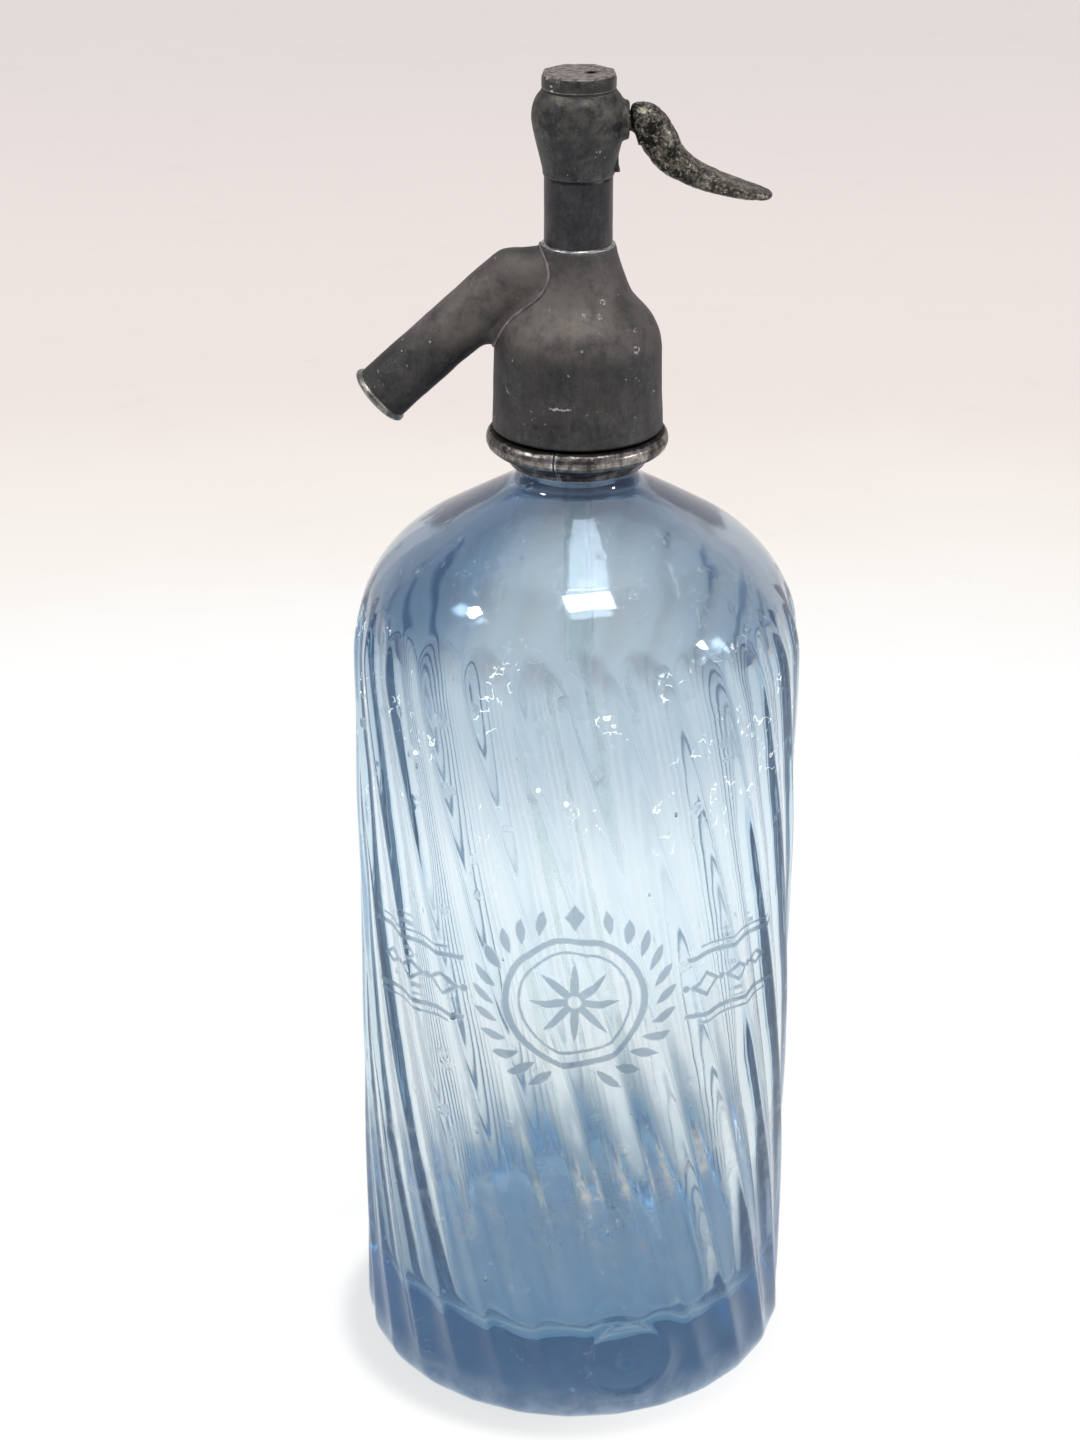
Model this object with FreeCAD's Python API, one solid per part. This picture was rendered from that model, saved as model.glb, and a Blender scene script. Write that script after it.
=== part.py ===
import FreeCAD, Part
import math
import os
from FreeCAD import Vector

# Soda siphon: a fluted glass bottle with a cast metal head, a lift valve worked by a side lever,
# and a spout.  Millimetres, +Z up.  The origin is the centre of the foot, the spout points to -X
# and the lever to +X.

os.makedirs("parts", exist_ok=True)

ORIGIN = Vector(0, 0, 0)
UP = Vector(0, 0, 1)
ALONG_X = Vector(1, 0, 0)
ALONG_Y = Vector(0, 1, 0)

# ---------------------------------------------------------------- driving dimensions

# Bottle
BODY_R = 50.4            # outer radius over the crests of the flutes
HEEL_R = 7.0             # round between wall and foot
FOOT_R_IN = 33.0         # inner edge of the flat resting ring
PUNT_H = 4.0             # rise of the hollow under the bottle
SHOULDER_Z = 178.0       # where the straight wall ends
SHOULDER_R = 33.3        # radius of the round shoulder
SHOULDER_SPAN = 57.0     # degrees of that round before the upper slope
NECK_R = 13.0
NECK_Z = 222.0           # where the slope has turned into the neck
LIP_R = 14.8
LIP_Z0 = 238.0           # underside of the lip, on which the collar pulls
LIP_Z1 = 247.0           # top of the lip
MOUTH_R = 9.2            # bore of the neck
WALL_T = 5.0             # glass thickness
FLOOR_Z = 13.0           # top of the thick glass base
FLOOR_ROUND = 10.0       # round between inner wall and floor

# Flutes: left-handed helical hollows between sharp crests
FLUTES = 26
FLUTE_DEPTH = 1.3
FLUTE_LEAD = 1200.0      # height of one full turn of a flute
CREST_LAND = 0.04        # how far the cutting surface stands off a crest
RUN_OUT = 3.0            # how far it stands off where a flute has ended

# Split collar under the lip
COLLAR_R_IN = 13.25
COLLAR_Z0 = 222.3
COLLAR_FOOT_R = 15.2
COLLAR_BEAD_R = 20.1
COLLAR_BEAD_Z = 227.7
COLLAR_BEAD_H = 4.6
COLLAR_THREAD_R = 16.5
SPLIT_ANGLE = 75.0       # direction of the joint between the two halves, from +X
SPLIT_GAP = 0.4

# Head casting
SKIRT_Z0 = 230.5
SKIRT_R0 = 18.75
SKIRT_R1 = 18.3
SKIRT_Z1 = 249.5
SKIRT_R_IN = 16.65
BELL_TOP_Z = 271.0
BELL_TOP_R = 8.15
CEILING_Z = 249.5        # the gasket is pressed against it
FERRULE_BORE_R = 6.4
CHAMBER_Z0 = 259.0
CHAMBER_Z1 = 268.5
CHAMBER_R = 5.6
STEM_HOLE_R = 2.3

# Spout
SPOUT_R = 6.5
SPOUT_Z = 263.9          # height of the level stub
SPOUT_KNEE_X = -14.1     # where the level and sloping centre lines meet
SPOUT_DROP = 42.7        # degrees below level
SPOUT_RUN = 40.4         # from the knee to the mouth
SPOUT_BORE_R = 4.2       # wide bore behind the mouth
SPOUT_BORE_L = 30.0
PORT_R = 3.4             # port from the valve chamber to the wide bore
RIM_R = 7.25
RIM_W = 1.6
RIM_ROUND = 0.45         # bulge of the rim's edge

# Barrel above the bell
BARREL_R = 7.4
BARREL_R_IN = 5.7
BARREL_Z1 = 286.4
RING_R = 8.0
RING_H = 0.8

# Lever housing and cap
HOUSING_R0 = 7.65
HOUSING_R_MAX = 10.2
CAP_R = 8.0
CAP_Z0 = 305.2
TOP_Z = 308.4
SPIGOT_R_IN = 4.8
SPIGOT_Z0 = 282.4
WEB_Z0 = 288.8
WEB_Z1 = 290.8
ROOM_R = 6.0             # room for the yoke in the housing
BOSS_R = 4.2
BOSS_Z = 298.2
BOSS_X = 10.7
RIB_X = 8.5              # face, width and foot of the rib under the boss
RIB_W = 2.4
RIB_Z0 = 287.0
PLUG_Z0 = 301.6          # hollow screw plug of the cap
PLUG_R_IN = 4.7
CAP_HOLE_R = 0.8
CAP_HOLE_X = 2.5
WINDOW_HALF = 2.35       # half width of the lever's window
WINDOW_Z0 = 294.9
WINDOW_Z1 = 300.9

# Lever and its pin
PIVOT_X = 8.2
PIVOT_Z = 298.0
PIN_R = 1.1
PIN_BORE_R = 1.15
HUB_R = 2.5
NECK_HALF = 2.1          # half height of the neck between hub and knob
SHANK_HALF = 0.8
FINGER_HALF = 2.1
NOSE_R = 1.3

# Valve train
STEM_R = 2.0
STEM_TOP_Z = 294.0
STEM_TAIL_R = 1.6        # thinner threaded ends
CUP_Z0 = 260.9
CUP_Z1 = 265.0
CUP_R = 4.9
WASHER_R = 4.2
SEAT_LIP_Z = 259.8
SPRING_Z0 = 280.4
SPRING_R = 3.75
SPRING_WIRE_R = 0.35
SPRING_TURNS = 5.0
YOKE_Z0 = 291.2
YOKE_Z1 = 301.0
YOKE_R = 4.2

# Dip tube
TUBE_R = 3.2
TUBE_BORE_R = 2.1
TUBE_Z0 = 19.0
TUBE_Z1 = 255.9


# ---------------------------------------------------------------- helpers

def save(name, shape):
    """Write one named piece and report its size."""
    shape.exportStep("parts/" + name + ".step")
    print(name, "solids", len(shape.Solids), "valid", shape.isValid(), "volume", round(shape.Volume, 1))


def at(radius, height):
    """A point of an outline in the XZ half plane."""
    return Vector(radius, 0, height)


def turned(edges):
    """Solid of revolution about Z from a closed outline given as edges."""
    face = Part.Face(Part.Wire(Part.__sortEdges__(edges)))
    return face.revolve(ORIGIN, UP, 360)


def lines(points):
    """Straight edges through the points, in order."""
    return [Part.LineSegment(a, b).toShape() for a, b in zip(points, points[1:])]


def turned_outline(points):
    """Solid of revolution about Z from a closed outline of straight lines."""
    return turned(lines(points + points[:1]))


def ring(r_in, r_out, z0, z1):
    """Plain ring with a bore."""
    disc = Part.makeCylinder(r_out, z1 - z0, at(0, z0))
    return disc.cut(Part.makeCylinder(r_in, z1 - z0 + 2, at(0, z0 - 1)))


def arc(centre_r, centre_z, radius, start, end):
    """Arc in the XZ half plane between two angles in degrees, measured up from level."""
    points = []
    for angle in (start, (start + end) / 2, end):
        turn = math.radians(angle)
        points.append(at(centre_r + radius * math.cos(turn), centre_z + radius * math.sin(turn)))
    return Part.Arc(*points).toShape()


def smooth_step(t):
    """Ease from 0 to 1 with level ends."""
    t = min(1.0, max(0.0, t))
    return t * t * (3 - 2 * t)


# ---------------------------------------------------------------- bottle

HEEL_LENGTH = HEEL_R * math.pi / 2
WALL_LENGTH = SHOULDER_Z - HEEL_R
SHOULDER_LENGTH = SHOULDER_R * math.radians(SHOULDER_SPAN)


def outline_point(s):
    """Point and outward normal of the outer outline at length s from the foot."""
    if s < HEEL_LENGTH:
        turn = s / HEEL_R - math.pi / 2
        centre = at(BODY_R - HEEL_R, HEEL_R)
        normal = at(math.cos(turn), math.sin(turn))
        return centre + normal * HEEL_R, normal
    s -= HEEL_LENGTH
    if s < WALL_LENGTH:
        return at(BODY_R, HEEL_R + s), at(1, 0)
    turn = (s - WALL_LENGTH) / SHOULDER_R
    centre = at(BODY_R - SHOULDER_R, SHOULDER_Z)
    normal = at(math.cos(turn), math.sin(turn))
    return centre + normal * SHOULDER_R, normal


def stand_off(s):
    """Distance of a crest of the cutting surface from the outline at length s."""
    from_heel = 1 - smooth_step(s / (0.75 * HEEL_LENGTH))
    from_shoulder = smooth_step((s - HEEL_LENGTH - WALL_LENGTH - 5.0) / (SHOULDER_LENGTH - 5.0))
    return CREST_LAND + RUN_OUT * (from_heel + from_shoulder)


def flute_pole(s, across):
    """Pole of the cutting surface; across runs from -1 to 1 between two crests."""
    end_fade = smooth_step(s / 3.0) * smooth_step((HEEL_LENGTH + WALL_LENGTH + SHOULDER_LENGTH - s) / 3.0)
    place, normal = outline_point(s)
    place = place + normal * (stand_off(s) - FLUTE_DEPTH * end_fade * (1 - across * across))
    turn = math.pi * across / FLUTES - 2 * math.pi * s / FLUTE_LEAD
    return Vector(place.x * math.cos(turn), place.x * math.sin(turn), place.z)


def clamped(count):
    """Multiplicities and knots of a cubic spline that starts and ends on its first and last pole."""
    spans = count - 3
    return [4] + [1] * (spans - 1) + [4], [k / spans for k in range(spans + 1)]


def flute_panel():
    """One helical hollow from foot to shoulder as a cubic spline face."""
    heel = [HEEL_LENGTH * k / 6 for k in range(6)]
    wall = [HEEL_LENGTH + WALL_LENGTH * k / 12 for k in range(13)]
    shoulder = [HEEL_LENGTH + WALL_LENGTH + SHOULDER_LENGTH * k / 10 for k in range(1, 11)]
    stations = heel + wall + shoulder
    poles = [[flute_pole(s, k / 3 - 1) for k in range(7)] for s in stations]
    along = clamped(len(stations))
    across = clamped(7)
    surface = Part.BSplineSurface()
    surface.buildFromPolesMultsKnots(poles, along[0], across[0], along[1], across[1], False, False, 3, 3)
    return surface.toShape()


def end_cap(panels, height):
    """Flat face closed by the panels' own edges at one height."""
    rim = []
    for panel in panels:
        for edge in panel.Edges:
            if edge.BoundBox.ZLength < 0.001 and abs(edge.BoundBox.ZMin - height) < 0.01:
                rim.append(edge)
    return Part.Face(Part.Wire(Part.__sortEdges__(rim)))


def flute_ring():
    """Ring around the bottle whose inner face carries all the flutes."""
    panels = []
    for k in range(FLUTES):
        panel = flute_panel()
        panel.rotate(ORIGIN, UP, 360 * k / FLUTES)
        panels.append(panel)
    low = min(panel.BoundBox.ZMin for panel in panels)
    high = max(panel.BoundBox.ZMax for panel in panels)
    skin = Part.Compound(panels + [end_cap(panels, low), end_cap(panels, high)])
    skin.sewShape(0.001)
    core = Part.Solid(skin.Shells[0])
    if core.Volume < 0:
        core.reverse()
    bottom = low / 2
    height = SHOULDER_Z + SHOULDER_R * math.sin(math.radians(SHOULDER_SPAN)) + 0.5 - bottom
    return Part.makeCylinder(BODY_R + 10, height, at(0, bottom)).cut(core)


def bottle():
    """Pressed glass bottle: thick base, fluted wall, round shoulder and lipped neck."""
    span = math.radians(SHOULDER_SPAN)
    centre_r = BODY_R - SHOULDER_R
    slope_top = at(centre_r + SHOULDER_R * math.cos(span), SHOULDER_Z + SHOULDER_R * math.sin(span))
    slope_end = at(NECK_R + 3.2, 216.9)
    inner_r = BODY_R - WALL_T
    inner_shoulder = SHOULDER_R - WALL_T
    inner_top = at(centre_r + inner_shoulder * math.cos(span), SHOULDER_Z + inner_shoulder * math.sin(span))
    neck_in = at(MOUTH_R, NECK_Z - 3)
    outside = [
        arc(BODY_R - HEEL_R, HEEL_R, HEEL_R, -90, 0),
        Part.LineSegment(at(BODY_R, HEEL_R), at(BODY_R, SHOULDER_Z)).toShape(),
        arc(centre_r, SHOULDER_Z, SHOULDER_R, 0, SHOULDER_SPAN),
        Part.LineSegment(slope_top, slope_end).toShape(),
        Part.Arc(slope_end, at(NECK_R + 0.75, 218.8), at(NECK_R, NECK_Z)).toShape(),
    ]
    neck = lines([at(NECK_R, NECK_Z), at(NECK_R, LIP_Z0), at(LIP_R, LIP_Z0), at(LIP_R, LIP_Z1 - 1)])
    lip_round = arc(LIP_R - 1, LIP_Z1 - 1, 1.0, 0, 90)
    mouth = lines([at(LIP_R - 1, LIP_Z1), at(MOUTH_R, LIP_Z1), neck_in, inner_top])
    inside = [
        arc(centre_r, SHOULDER_Z, inner_shoulder, 0, SHOULDER_SPAN),
        Part.LineSegment(at(inner_r, SHOULDER_Z), at(inner_r, FLOOR_Z + FLOOR_ROUND)).toShape(),
        arc(inner_r - FLOOR_ROUND, FLOOR_Z + FLOOR_ROUND, FLOOR_ROUND, -90, 0),
    ]
    floor = lines([at(inner_r - FLOOR_ROUND, FLOOR_Z), at(0, FLOOR_Z + 1.5), at(0, PUNT_H)])
    punt = Part.Arc(at(0, PUNT_H), at(FOOT_R_IN / 2, PUNT_H * 0.72), at(FOOT_R_IN, 0)).toShape()
    foot = lines([at(FOOT_R_IN, 0), at(BODY_R - HEEL_R, 0)])
    blank = turned(outside + neck + [lip_round] + mouth + inside + floor + [punt] + foot)
    return blank.cut(flute_ring())


# ---------------------------------------------------------------- collar, gasket and dip tube

def collar_halves():
    """Split collar: bead and tapered band outside, thread wall above; cut along one plane."""
    half = COLLAR_BEAD_H / 2
    low = COLLAR_BEAD_Z - half
    high = COLLAR_BEAD_Z + half
    edges = lines([at(COLLAR_R_IN, LIP_Z0), at(COLLAR_R_IN, COLLAR_Z0), at(COLLAR_FOOT_R, COLLAR_Z0),
                   at(COLLAR_FOOT_R + 0.4, COLLAR_Z0 + 1.2), at(COLLAR_BEAD_R - 2.1, low)])
    edges.append(Part.Arc(at(COLLAR_BEAD_R - 2.1, low), at(COLLAR_BEAD_R, COLLAR_BEAD_Z),
                          at(COLLAR_BEAD_R - 2.1, high)).toShape())
    edges += lines([at(COLLAR_BEAD_R - 2.1, high), at(COLLAR_THREAD_R, high), at(COLLAR_THREAD_R, LIP_Z0),
                    at(COLLAR_R_IN, LIP_Z0)])
    whole = turned(edges)
    size = 2 * COLLAR_BEAD_R
    halves = []
    for side in (1, -1):
        block = Part.makeBox(2 * size, size, 30, Vector(-size, SPLIT_GAP / 2, COLLAR_Z0 - 5))
        block.rotate(ORIGIN, UP, SPLIT_ANGLE if side > 0 else SPLIT_ANGLE + 180)
        halves.append(whole.common(block))
    return halves


def dip_tube():
    """Glass tube down to the floor of the bottle, its foot cut on the slant."""
    tube = ring(TUBE_BORE_R, TUBE_R, TUBE_Z0, TUBE_Z1)
    slant = Part.makeBox(40, 40, 20, Vector(-20, -20, -20))
    slant.rotate(ORIGIN, ALONG_Y, 30)
    slant.translate(at(0, TUBE_Z0 + 2))
    return tube.cut(slant)


def tube_ferrule():
    """Flanged screw that holds the dip tube and seat up in the head."""
    outside = turned_outline([at(TUBE_R + 0.1, 244.0), at(7.9, 244.0), at(7.9, 247.0),
                              at(FERRULE_BORE_R, 247.0), at(FERRULE_BORE_R, 256.0),
                              at(5.2, 256.0), at(5.2, 252.5), at(TUBE_R + 0.1, 252.5)])
    for side in (1, -1):
        slot = Part.makeBox(3, 2, 1.5, Vector(6.4 if side > 0 else -9.4, -1, 243.5))
        outside = outside.cut(slot)
    return outside


# ---------------------------------------------------------------- head

def bell_outline():
    """Skirt and flared neck of the head, from the skirt's lower edge to the top."""
    shoulder = [at(SKIRT_R1, SKIRT_Z1), at(17.55, 252.9), at(14.9, 256.9), at(12.2, 260.0),
                at(10.3, 263.8), at(8.95, 268.2), at(BELL_TOP_R, BELL_TOP_Z)]
    curve = Part.BSplineCurve()
    curve.interpolate(Points=shoulder)
    skirt = lines([at(SKIRT_R0 - 0.5, SKIRT_Z0), at(SKIRT_R0, SKIRT_Z0 + 0.5), at(SKIRT_R1, SKIRT_Z1)])
    return skirt + [curve.toShape()]


def bell_blank():
    """The bell as if it were solid."""
    close = lines([at(BELL_TOP_R, BELL_TOP_Z), at(0, BELL_TOP_Z), at(0, SKIRT_Z0),
                   at(SKIRT_R0 - 0.5, SKIRT_Z0)])
    return turned(bell_outline() + close)


def spout_path():
    """Corner and mouth of the spout's centre line, with the direction of its sloping run."""
    drop = math.radians(SPOUT_DROP)
    knee = at(SPOUT_KNEE_X, SPOUT_Z)
    down = at(-math.cos(drop), -math.sin(drop))
    return knee, knee + down * SPOUT_RUN, down


def spout_rod(radius, inner_x):
    """Round bar along the spout's centre line: a level and a sloping run, mitred at the knee."""
    knee, mouth, down = spout_path()
    level = Part.makeCylinder(radius, inner_x - SPOUT_KNEE_X + 2 * radius, at(inner_x, SPOUT_Z), ALONG_X * -1)
    sloping = Part.makeCylinder(radius, SPOUT_RUN + 2 * radius, mouth, down * -1)
    beyond = Part.makeBox(4 * SPOUT_RUN, 4 * SPOUT_RUN, 2 * SPOUT_RUN, Vector(-2 * SPOUT_RUN, -2 * SPOUT_RUN, 0))
    beyond.Placement = FreeCAD.Placement(knee, FreeCAD.Rotation(UP, down - ALONG_X))
    return level.cut(beyond).fuse(sloping.common(beyond))


def side_port():
    """Level passage from the valve chamber to the knee of the spout."""
    return Part.makeCylinder(PORT_R, -SPOUT_KNEE_X, at(0, SPOUT_Z), Vector(-1, 0, 0))


def head_bell():
    """Casting with threaded skirt, gasket ceiling, valve chamber and side port."""
    body = bell_blank()
    body = body.cut(Part.makeCylinder(SKIRT_R_IN, CEILING_Z - SKIRT_Z0 + 1, at(0, SKIRT_Z0 - 1)))
    body = body.cut(Part.makeCylinder(FERRULE_BORE_R, CHAMBER_Z0 - CEILING_Z + 1, at(0, CEILING_Z - 1)))
    body = body.cut(Part.makeCylinder(CHAMBER_R, CHAMBER_Z1 - CHAMBER_Z0 + 1, at(0, CHAMBER_Z0 - 1)))
    body = body.cut(Part.makeCylinder(STEM_HOLE_R, 10, at(0, CHAMBER_Z1 - 1)))
    return body.cut(side_port())


def spout():
    """Cast spout, fitted to the bell's flank; a wide bore at the mouth, a narrow one to the port."""
    outside = spout_rod(SPOUT_R, -5.0).cut(bell_blank())
    knee, mouth, down = spout_path()
    wide = Part.makeCylinder(SPOUT_BORE_R, SPOUT_BORE_L + 1, mouth + down, down * -1)
    narrow = Part.makeCylinder(PORT_R, SPOUT_RUN, mouth, down * -1)
    return outside.cut(wide.fuse([narrow, side_port(), Part.makeSphere(PORT_R, knee)]))


def spout_rim():
    """Rolled ring with a round edge, soldered over the mouth of the spout."""
    edge_r = RIM_R - RIM_ROUND
    edges = lines([at(edge_r, 0), at(SPOUT_R, 0), at(SPOUT_R, -RIM_W), at(edge_r, -RIM_W)])
    edges.append(Part.Arc(at(edge_r, -RIM_W), at(RIM_R, -RIM_W / 2), at(edge_r, 0)).toShape())
    rim = turned(edges)
    knee, mouth, down = spout_path()
    rim.Placement = FreeCAD.Placement(mouth, FreeCAD.Rotation(UP, down))
    return rim


# ---------------------------------------------------------------- barrel and housing

def housing_blank():
    """Outer form of the housing: spigot, bulb, round boss and the rib under it."""
    bulb = [at(HOUSING_R0, BARREL_Z1 + 1.0), at(8.75, 291.6), at(9.75, 296.0), at(HOUSING_R_MAX, 298.9),
            at(9.8, 301.5), at(8.6, 304.0), at(CAP_R, CAP_Z0 - 0.5)]
    curve = Part.BSplineCurve()
    curve.interpolate(Points=bulb)
    foot = lines([at(BARREL_R_IN - 0.05, SPIGOT_Z0), at(BARREL_R_IN - 0.05, BARREL_Z1),
                  at(HOUSING_R0 - 0.2, BARREL_Z1), at(HOUSING_R0, BARREL_Z1 + 1.0)])
    close = lines([at(CAP_R, CAP_Z0 - 0.5), at(0, CAP_Z0 - 0.5), at(0, SPIGOT_Z0),
                   at(BARREL_R_IN - 0.05, SPIGOT_Z0)])
    body = turned(foot + [curve.toShape()] + close)
    boss = Part.makeCylinder(BOSS_R, BOSS_X - 5.0, at(5.0, BOSS_Z), ALONG_X)
    boss = boss.makeFillet(0.8, [edge for edge in boss.Edges if edge.BoundBox.XMin > BOSS_X - 0.01])
    rib = Part.makeBox(RIB_X - 6.4, RIB_W, BOSS_Z - RIB_Z0, Vector(6.4, -RIB_W / 2, RIB_Z0))
    return body.fuse([boss, rib])


def lever_housing():
    """Bulbous casting with spring pocket, web, yoke room, lever window and pin hole."""
    body = housing_blank()
    body = body.cut(Part.makeCylinder(SPIGOT_R_IN, WEB_Z0 - SPIGOT_Z0 + 1, at(0, SPIGOT_Z0 - 1)))
    body = body.cut(Part.makeCylinder(STEM_HOLE_R, WEB_Z1 - WEB_Z0 + 2, at(0, WEB_Z0 - 1)))
    body = body.cut(Part.makeCylinder(ROOM_R, TOP_Z - WEB_Z1, at(0, WEB_Z1)))
    window = Part.makeBox(BOSS_X, 2 * WINDOW_HALF, WINDOW_Z1 - WINDOW_Z0, Vector(2, -WINDOW_HALF, WINDOW_Z0))
    body = body.cut(window)
    return body.cut(Part.makeCylinder(PIN_R, 4 * BOSS_R, Vector(PIVOT_X, -2 * BOSS_R, PIVOT_Z), ALONG_Y))


def octagon(apothem, height):
    """Closed eight-sided wire around the axis."""
    corner = apothem / math.cos(math.pi / 8)
    turns = [math.pi / 8 + math.pi * k / 4 for k in range(9)]
    return Part.makePolygon([Vector(corner * math.cos(t), corner * math.sin(t), height) for t in turns])


def top_cap():
    """Screw cap: hollow plug below, rim worn to eight facets, a small hole in the face."""
    plug_r = ROOM_R - 0.05
    body = turned_outline([at(0, TOP_Z - 0.25), at(4.5, TOP_Z), at(CAP_R, TOP_Z), at(CAP_R, CAP_Z0),
                           at(plug_r, CAP_Z0), at(plug_r, PLUG_Z0), at(PLUG_R_IN, PLUG_Z0),
                           at(PLUG_R_IN, CAP_Z0 - 0.6), at(0, CAP_Z0 - 0.6)])
    facets = Part.makeLoft([octagon(CAP_R + 4.0, PLUG_Z0 - 1), octagon(CAP_R - 0.7, TOP_Z)], True, True)
    return body.common(facets).cut(Part.makeCylinder(CAP_HOLE_R, 3, at(CAP_HOLE_X, TOP_Z - 2)))


def lever_pin():
    """Cross pin, trimmed flush with the sides of the housing."""
    rod = Part.makeCylinder(PIN_R, 4 * BOSS_R, Vector(PIVOT_X, -2 * BOSS_R, PIVOT_Z), ALONG_Y)
    return rod.common(housing_blank())


# ---------------------------------------------------------------- lever

def lever_section(x, z, slope, half_height, half_width):
    """Closed oval across the lever, which runs slope degrees below level there."""
    turn = math.radians(slope)
    points = []
    for k in range(12):
        angle = 2 * math.pi * k / 12
        up = half_height * math.sin(angle)
        points.append(Vector(x + up * math.sin(turn), half_width * math.cos(angle), z + up * math.cos(turn)))
    oval = Part.BSplineCurve()
    oval.interpolate(Points=points, PeriodicFlag=True)
    return Part.Wire([oval.toShape()])


def lever():
    """Cast thumb lever: nosed finger, hub, knob and a curved, flattened arm."""
    # x, z, degrees below level, half height, half width
    stations = [
        (12.1, 297.8, 0, 3.0, 3.2),
        (13.8, 297.8, 8, 4.0, 3.9),
        (15.9, 296.2, 42, 4.0, 4.2),
        (17.5, 293.0, 55, 4.0, 4.3),
        (19.4, 290.5, 47, 3.7, 4.4),
        (22.0, 288.5, 36, 3.3, 4.6),
        (25.6, 286.5, 26, 2.8, 4.8),
        (31.2, 284.4, 18, 2.2, 5.0),
        (36.0, 283.1, 14, 1.75, 4.8),
        (39.4, 282.4, 11, 1.3, 3.8),
        (41.2, 282.1, 8, 0.7, 1.9),
    ]
    arm = Part.makeLoft([lever_section(*row) for row in stations], True, False)
    hub = Part.makeCylinder(HUB_R, 2 * FINGER_HALF, Vector(PIVOT_X, -FINGER_HALF, PIVOT_Z), ALONG_Y)
    neck = Part.makeBox(4.6, 2 * FINGER_HALF, 2 * NECK_HALF,
                        Vector(PIVOT_X, -FINGER_HALF, PIVOT_Z - NECK_HALF))
    shank = Part.makeBox(PIVOT_X, 2 * FINGER_HALF, 2 * SHANK_HALF,
                         Vector(0, -FINGER_HALF, PIVOT_Z - SHANK_HALF))
    nose = Part.makeCylinder(NOSE_R, 2 * FINGER_HALF, Vector(0, -FINGER_HALF, PIVOT_Z), ALONG_Y)
    body = arm.fuse([hub, neck, shank, nose])
    return body.cut(Part.makeCylinder(PIN_BORE_R, 20, Vector(PIVOT_X, -10, PIVOT_Z), ALONG_Y))


# ---------------------------------------------------------------- valve train

def valve_stem():
    """Rod from the washer cup to the yoke, with thinner ends."""
    rod = Part.makeCylinder(STEM_R, YOKE_Z0 - CUP_Z0 - 2.1, at(0, CUP_Z0 + 2.1))
    tail = Part.makeCylinder(STEM_TAIL_R, STEM_TOP_Z - YOKE_Z0 + 1, at(0, YOKE_Z0 - 1))
    return rod.fuse(tail)


def washer_cup():
    """Brass cup that carries the rubber washer."""
    cup = Part.makeCylinder(CUP_R, CUP_Z1 - CUP_Z0, at(0, CUP_Z0))
    cup = cup.cut(Part.makeCylinder(WASHER_R, 1.1, at(0, CUP_Z0)))
    return cup.cut(Part.makeCylinder(STEM_R, 4, at(0, CUP_Z0 + 2.1)))


def valve_seat():
    """Seat bush with a raised lip around its bore."""
    bush = turned_outline([at(2.0, 256.0), at(FERRULE_BORE_R, 256.0), at(FERRULE_BORE_R, CHAMBER_Z0),
                           at(3.4, CHAMBER_Z0), at(2.6, SEAT_LIP_Z), at(2.0, SEAT_LIP_Z)])
    return bush


def return_spring():
    """Round wire coil between the spring collar and the housing's web."""
    height = WEB_Z0 - SPRING_Z0 - 2 * SPRING_WIRE_R - 0.1
    helix = Part.makeHelix(height / SPRING_TURNS, height, SPRING_R)
    section = Part.Wire(Part.makeCircle(SPRING_WIRE_R, Vector(SPRING_R, 0, 0), ALONG_Y))
    coil = Part.Wire(helix).makePipeShell([section], True, True)
    coil.translate(at(0, SPRING_Z0 + SPRING_WIRE_R + 0.05))
    return coil


def stem_yoke():
    """Yoke screwed on the stem; the lever's nose works in its cross slot."""
    body = Part.makeCylinder(YOKE_R, YOKE_Z1 - YOKE_Z0, at(0, YOKE_Z0))
    slot = Part.makeBox(20, 2 * FINGER_HALF + 0.4, NOSE_R + 0.1 + 1.9,
                        Vector(-10, -FINGER_HALF - 0.2, PIVOT_Z - 1.9))
    body = body.cut(slot)
    return body.cut(Part.makeCylinder(STEM_TAIL_R, STEM_TOP_Z - YOKE_Z0 + 1, at(0, YOKE_Z0 - 1)))


def packing_rings():
    """Two leather rings around the stem."""
    first = ring(STEM_R + 0.05, CHAMBER_R, BELL_TOP_Z, BELL_TOP_Z + 1.6)
    second = ring(STEM_R + 0.05, CHAMBER_R, BELL_TOP_Z + 1.7, BELL_TOP_Z + 3.3)
    return Part.Compound([first, second])


def packing_gland():
    """Gland nut with a spanner slot across its top."""
    nut = ring(STEM_HOLE_R, BARREL_R_IN, BELL_TOP_Z + 3.4, BELL_TOP_Z + 7.4)
    return nut.cut(Part.makeBox(20, 1.6, 1.6, Vector(-10, -0.8, BELL_TOP_Z + 6.2)))


# ---------------------------------------------------------------- pieces, in the order of assembly

save("bottle", bottle())
COLLAR = collar_halves()
save("collar_half_spout_side", COLLAR[0])
save("collar_half_lever_side", COLLAR[1])
save("neck_gasket", ring(8.2, 16.2, LIP_Z1, CEILING_Z))
save("dip_tube", dip_tube())
save("tube_seal", ring(TUBE_R, 5.15, 252.5, 255.9))
save("tube_ferrule", tube_ferrule())
save("valve_seat", valve_seat())
save("head_bell", head_bell())
save("spout", spout())
save("spout_rim", spout_rim())
save("barrel_ring", ring(BARREL_R, RING_R, BELL_TOP_Z, BELL_TOP_Z + RING_H))
save("barrel_tube", ring(BARREL_R_IN, BARREL_R, BELL_TOP_Z, BARREL_Z1))
save("lever_housing", lever_housing())
save("cap_washer", ring(ROOM_R, CAP_R - 0.15, CAP_Z0 - 0.5, CAP_Z0))
save("top_cap", top_cap())
save("lever_pin", lever_pin())
save("stem_packing", packing_rings())
save("packing_gland", packing_gland())
save("lever", lever())
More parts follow.
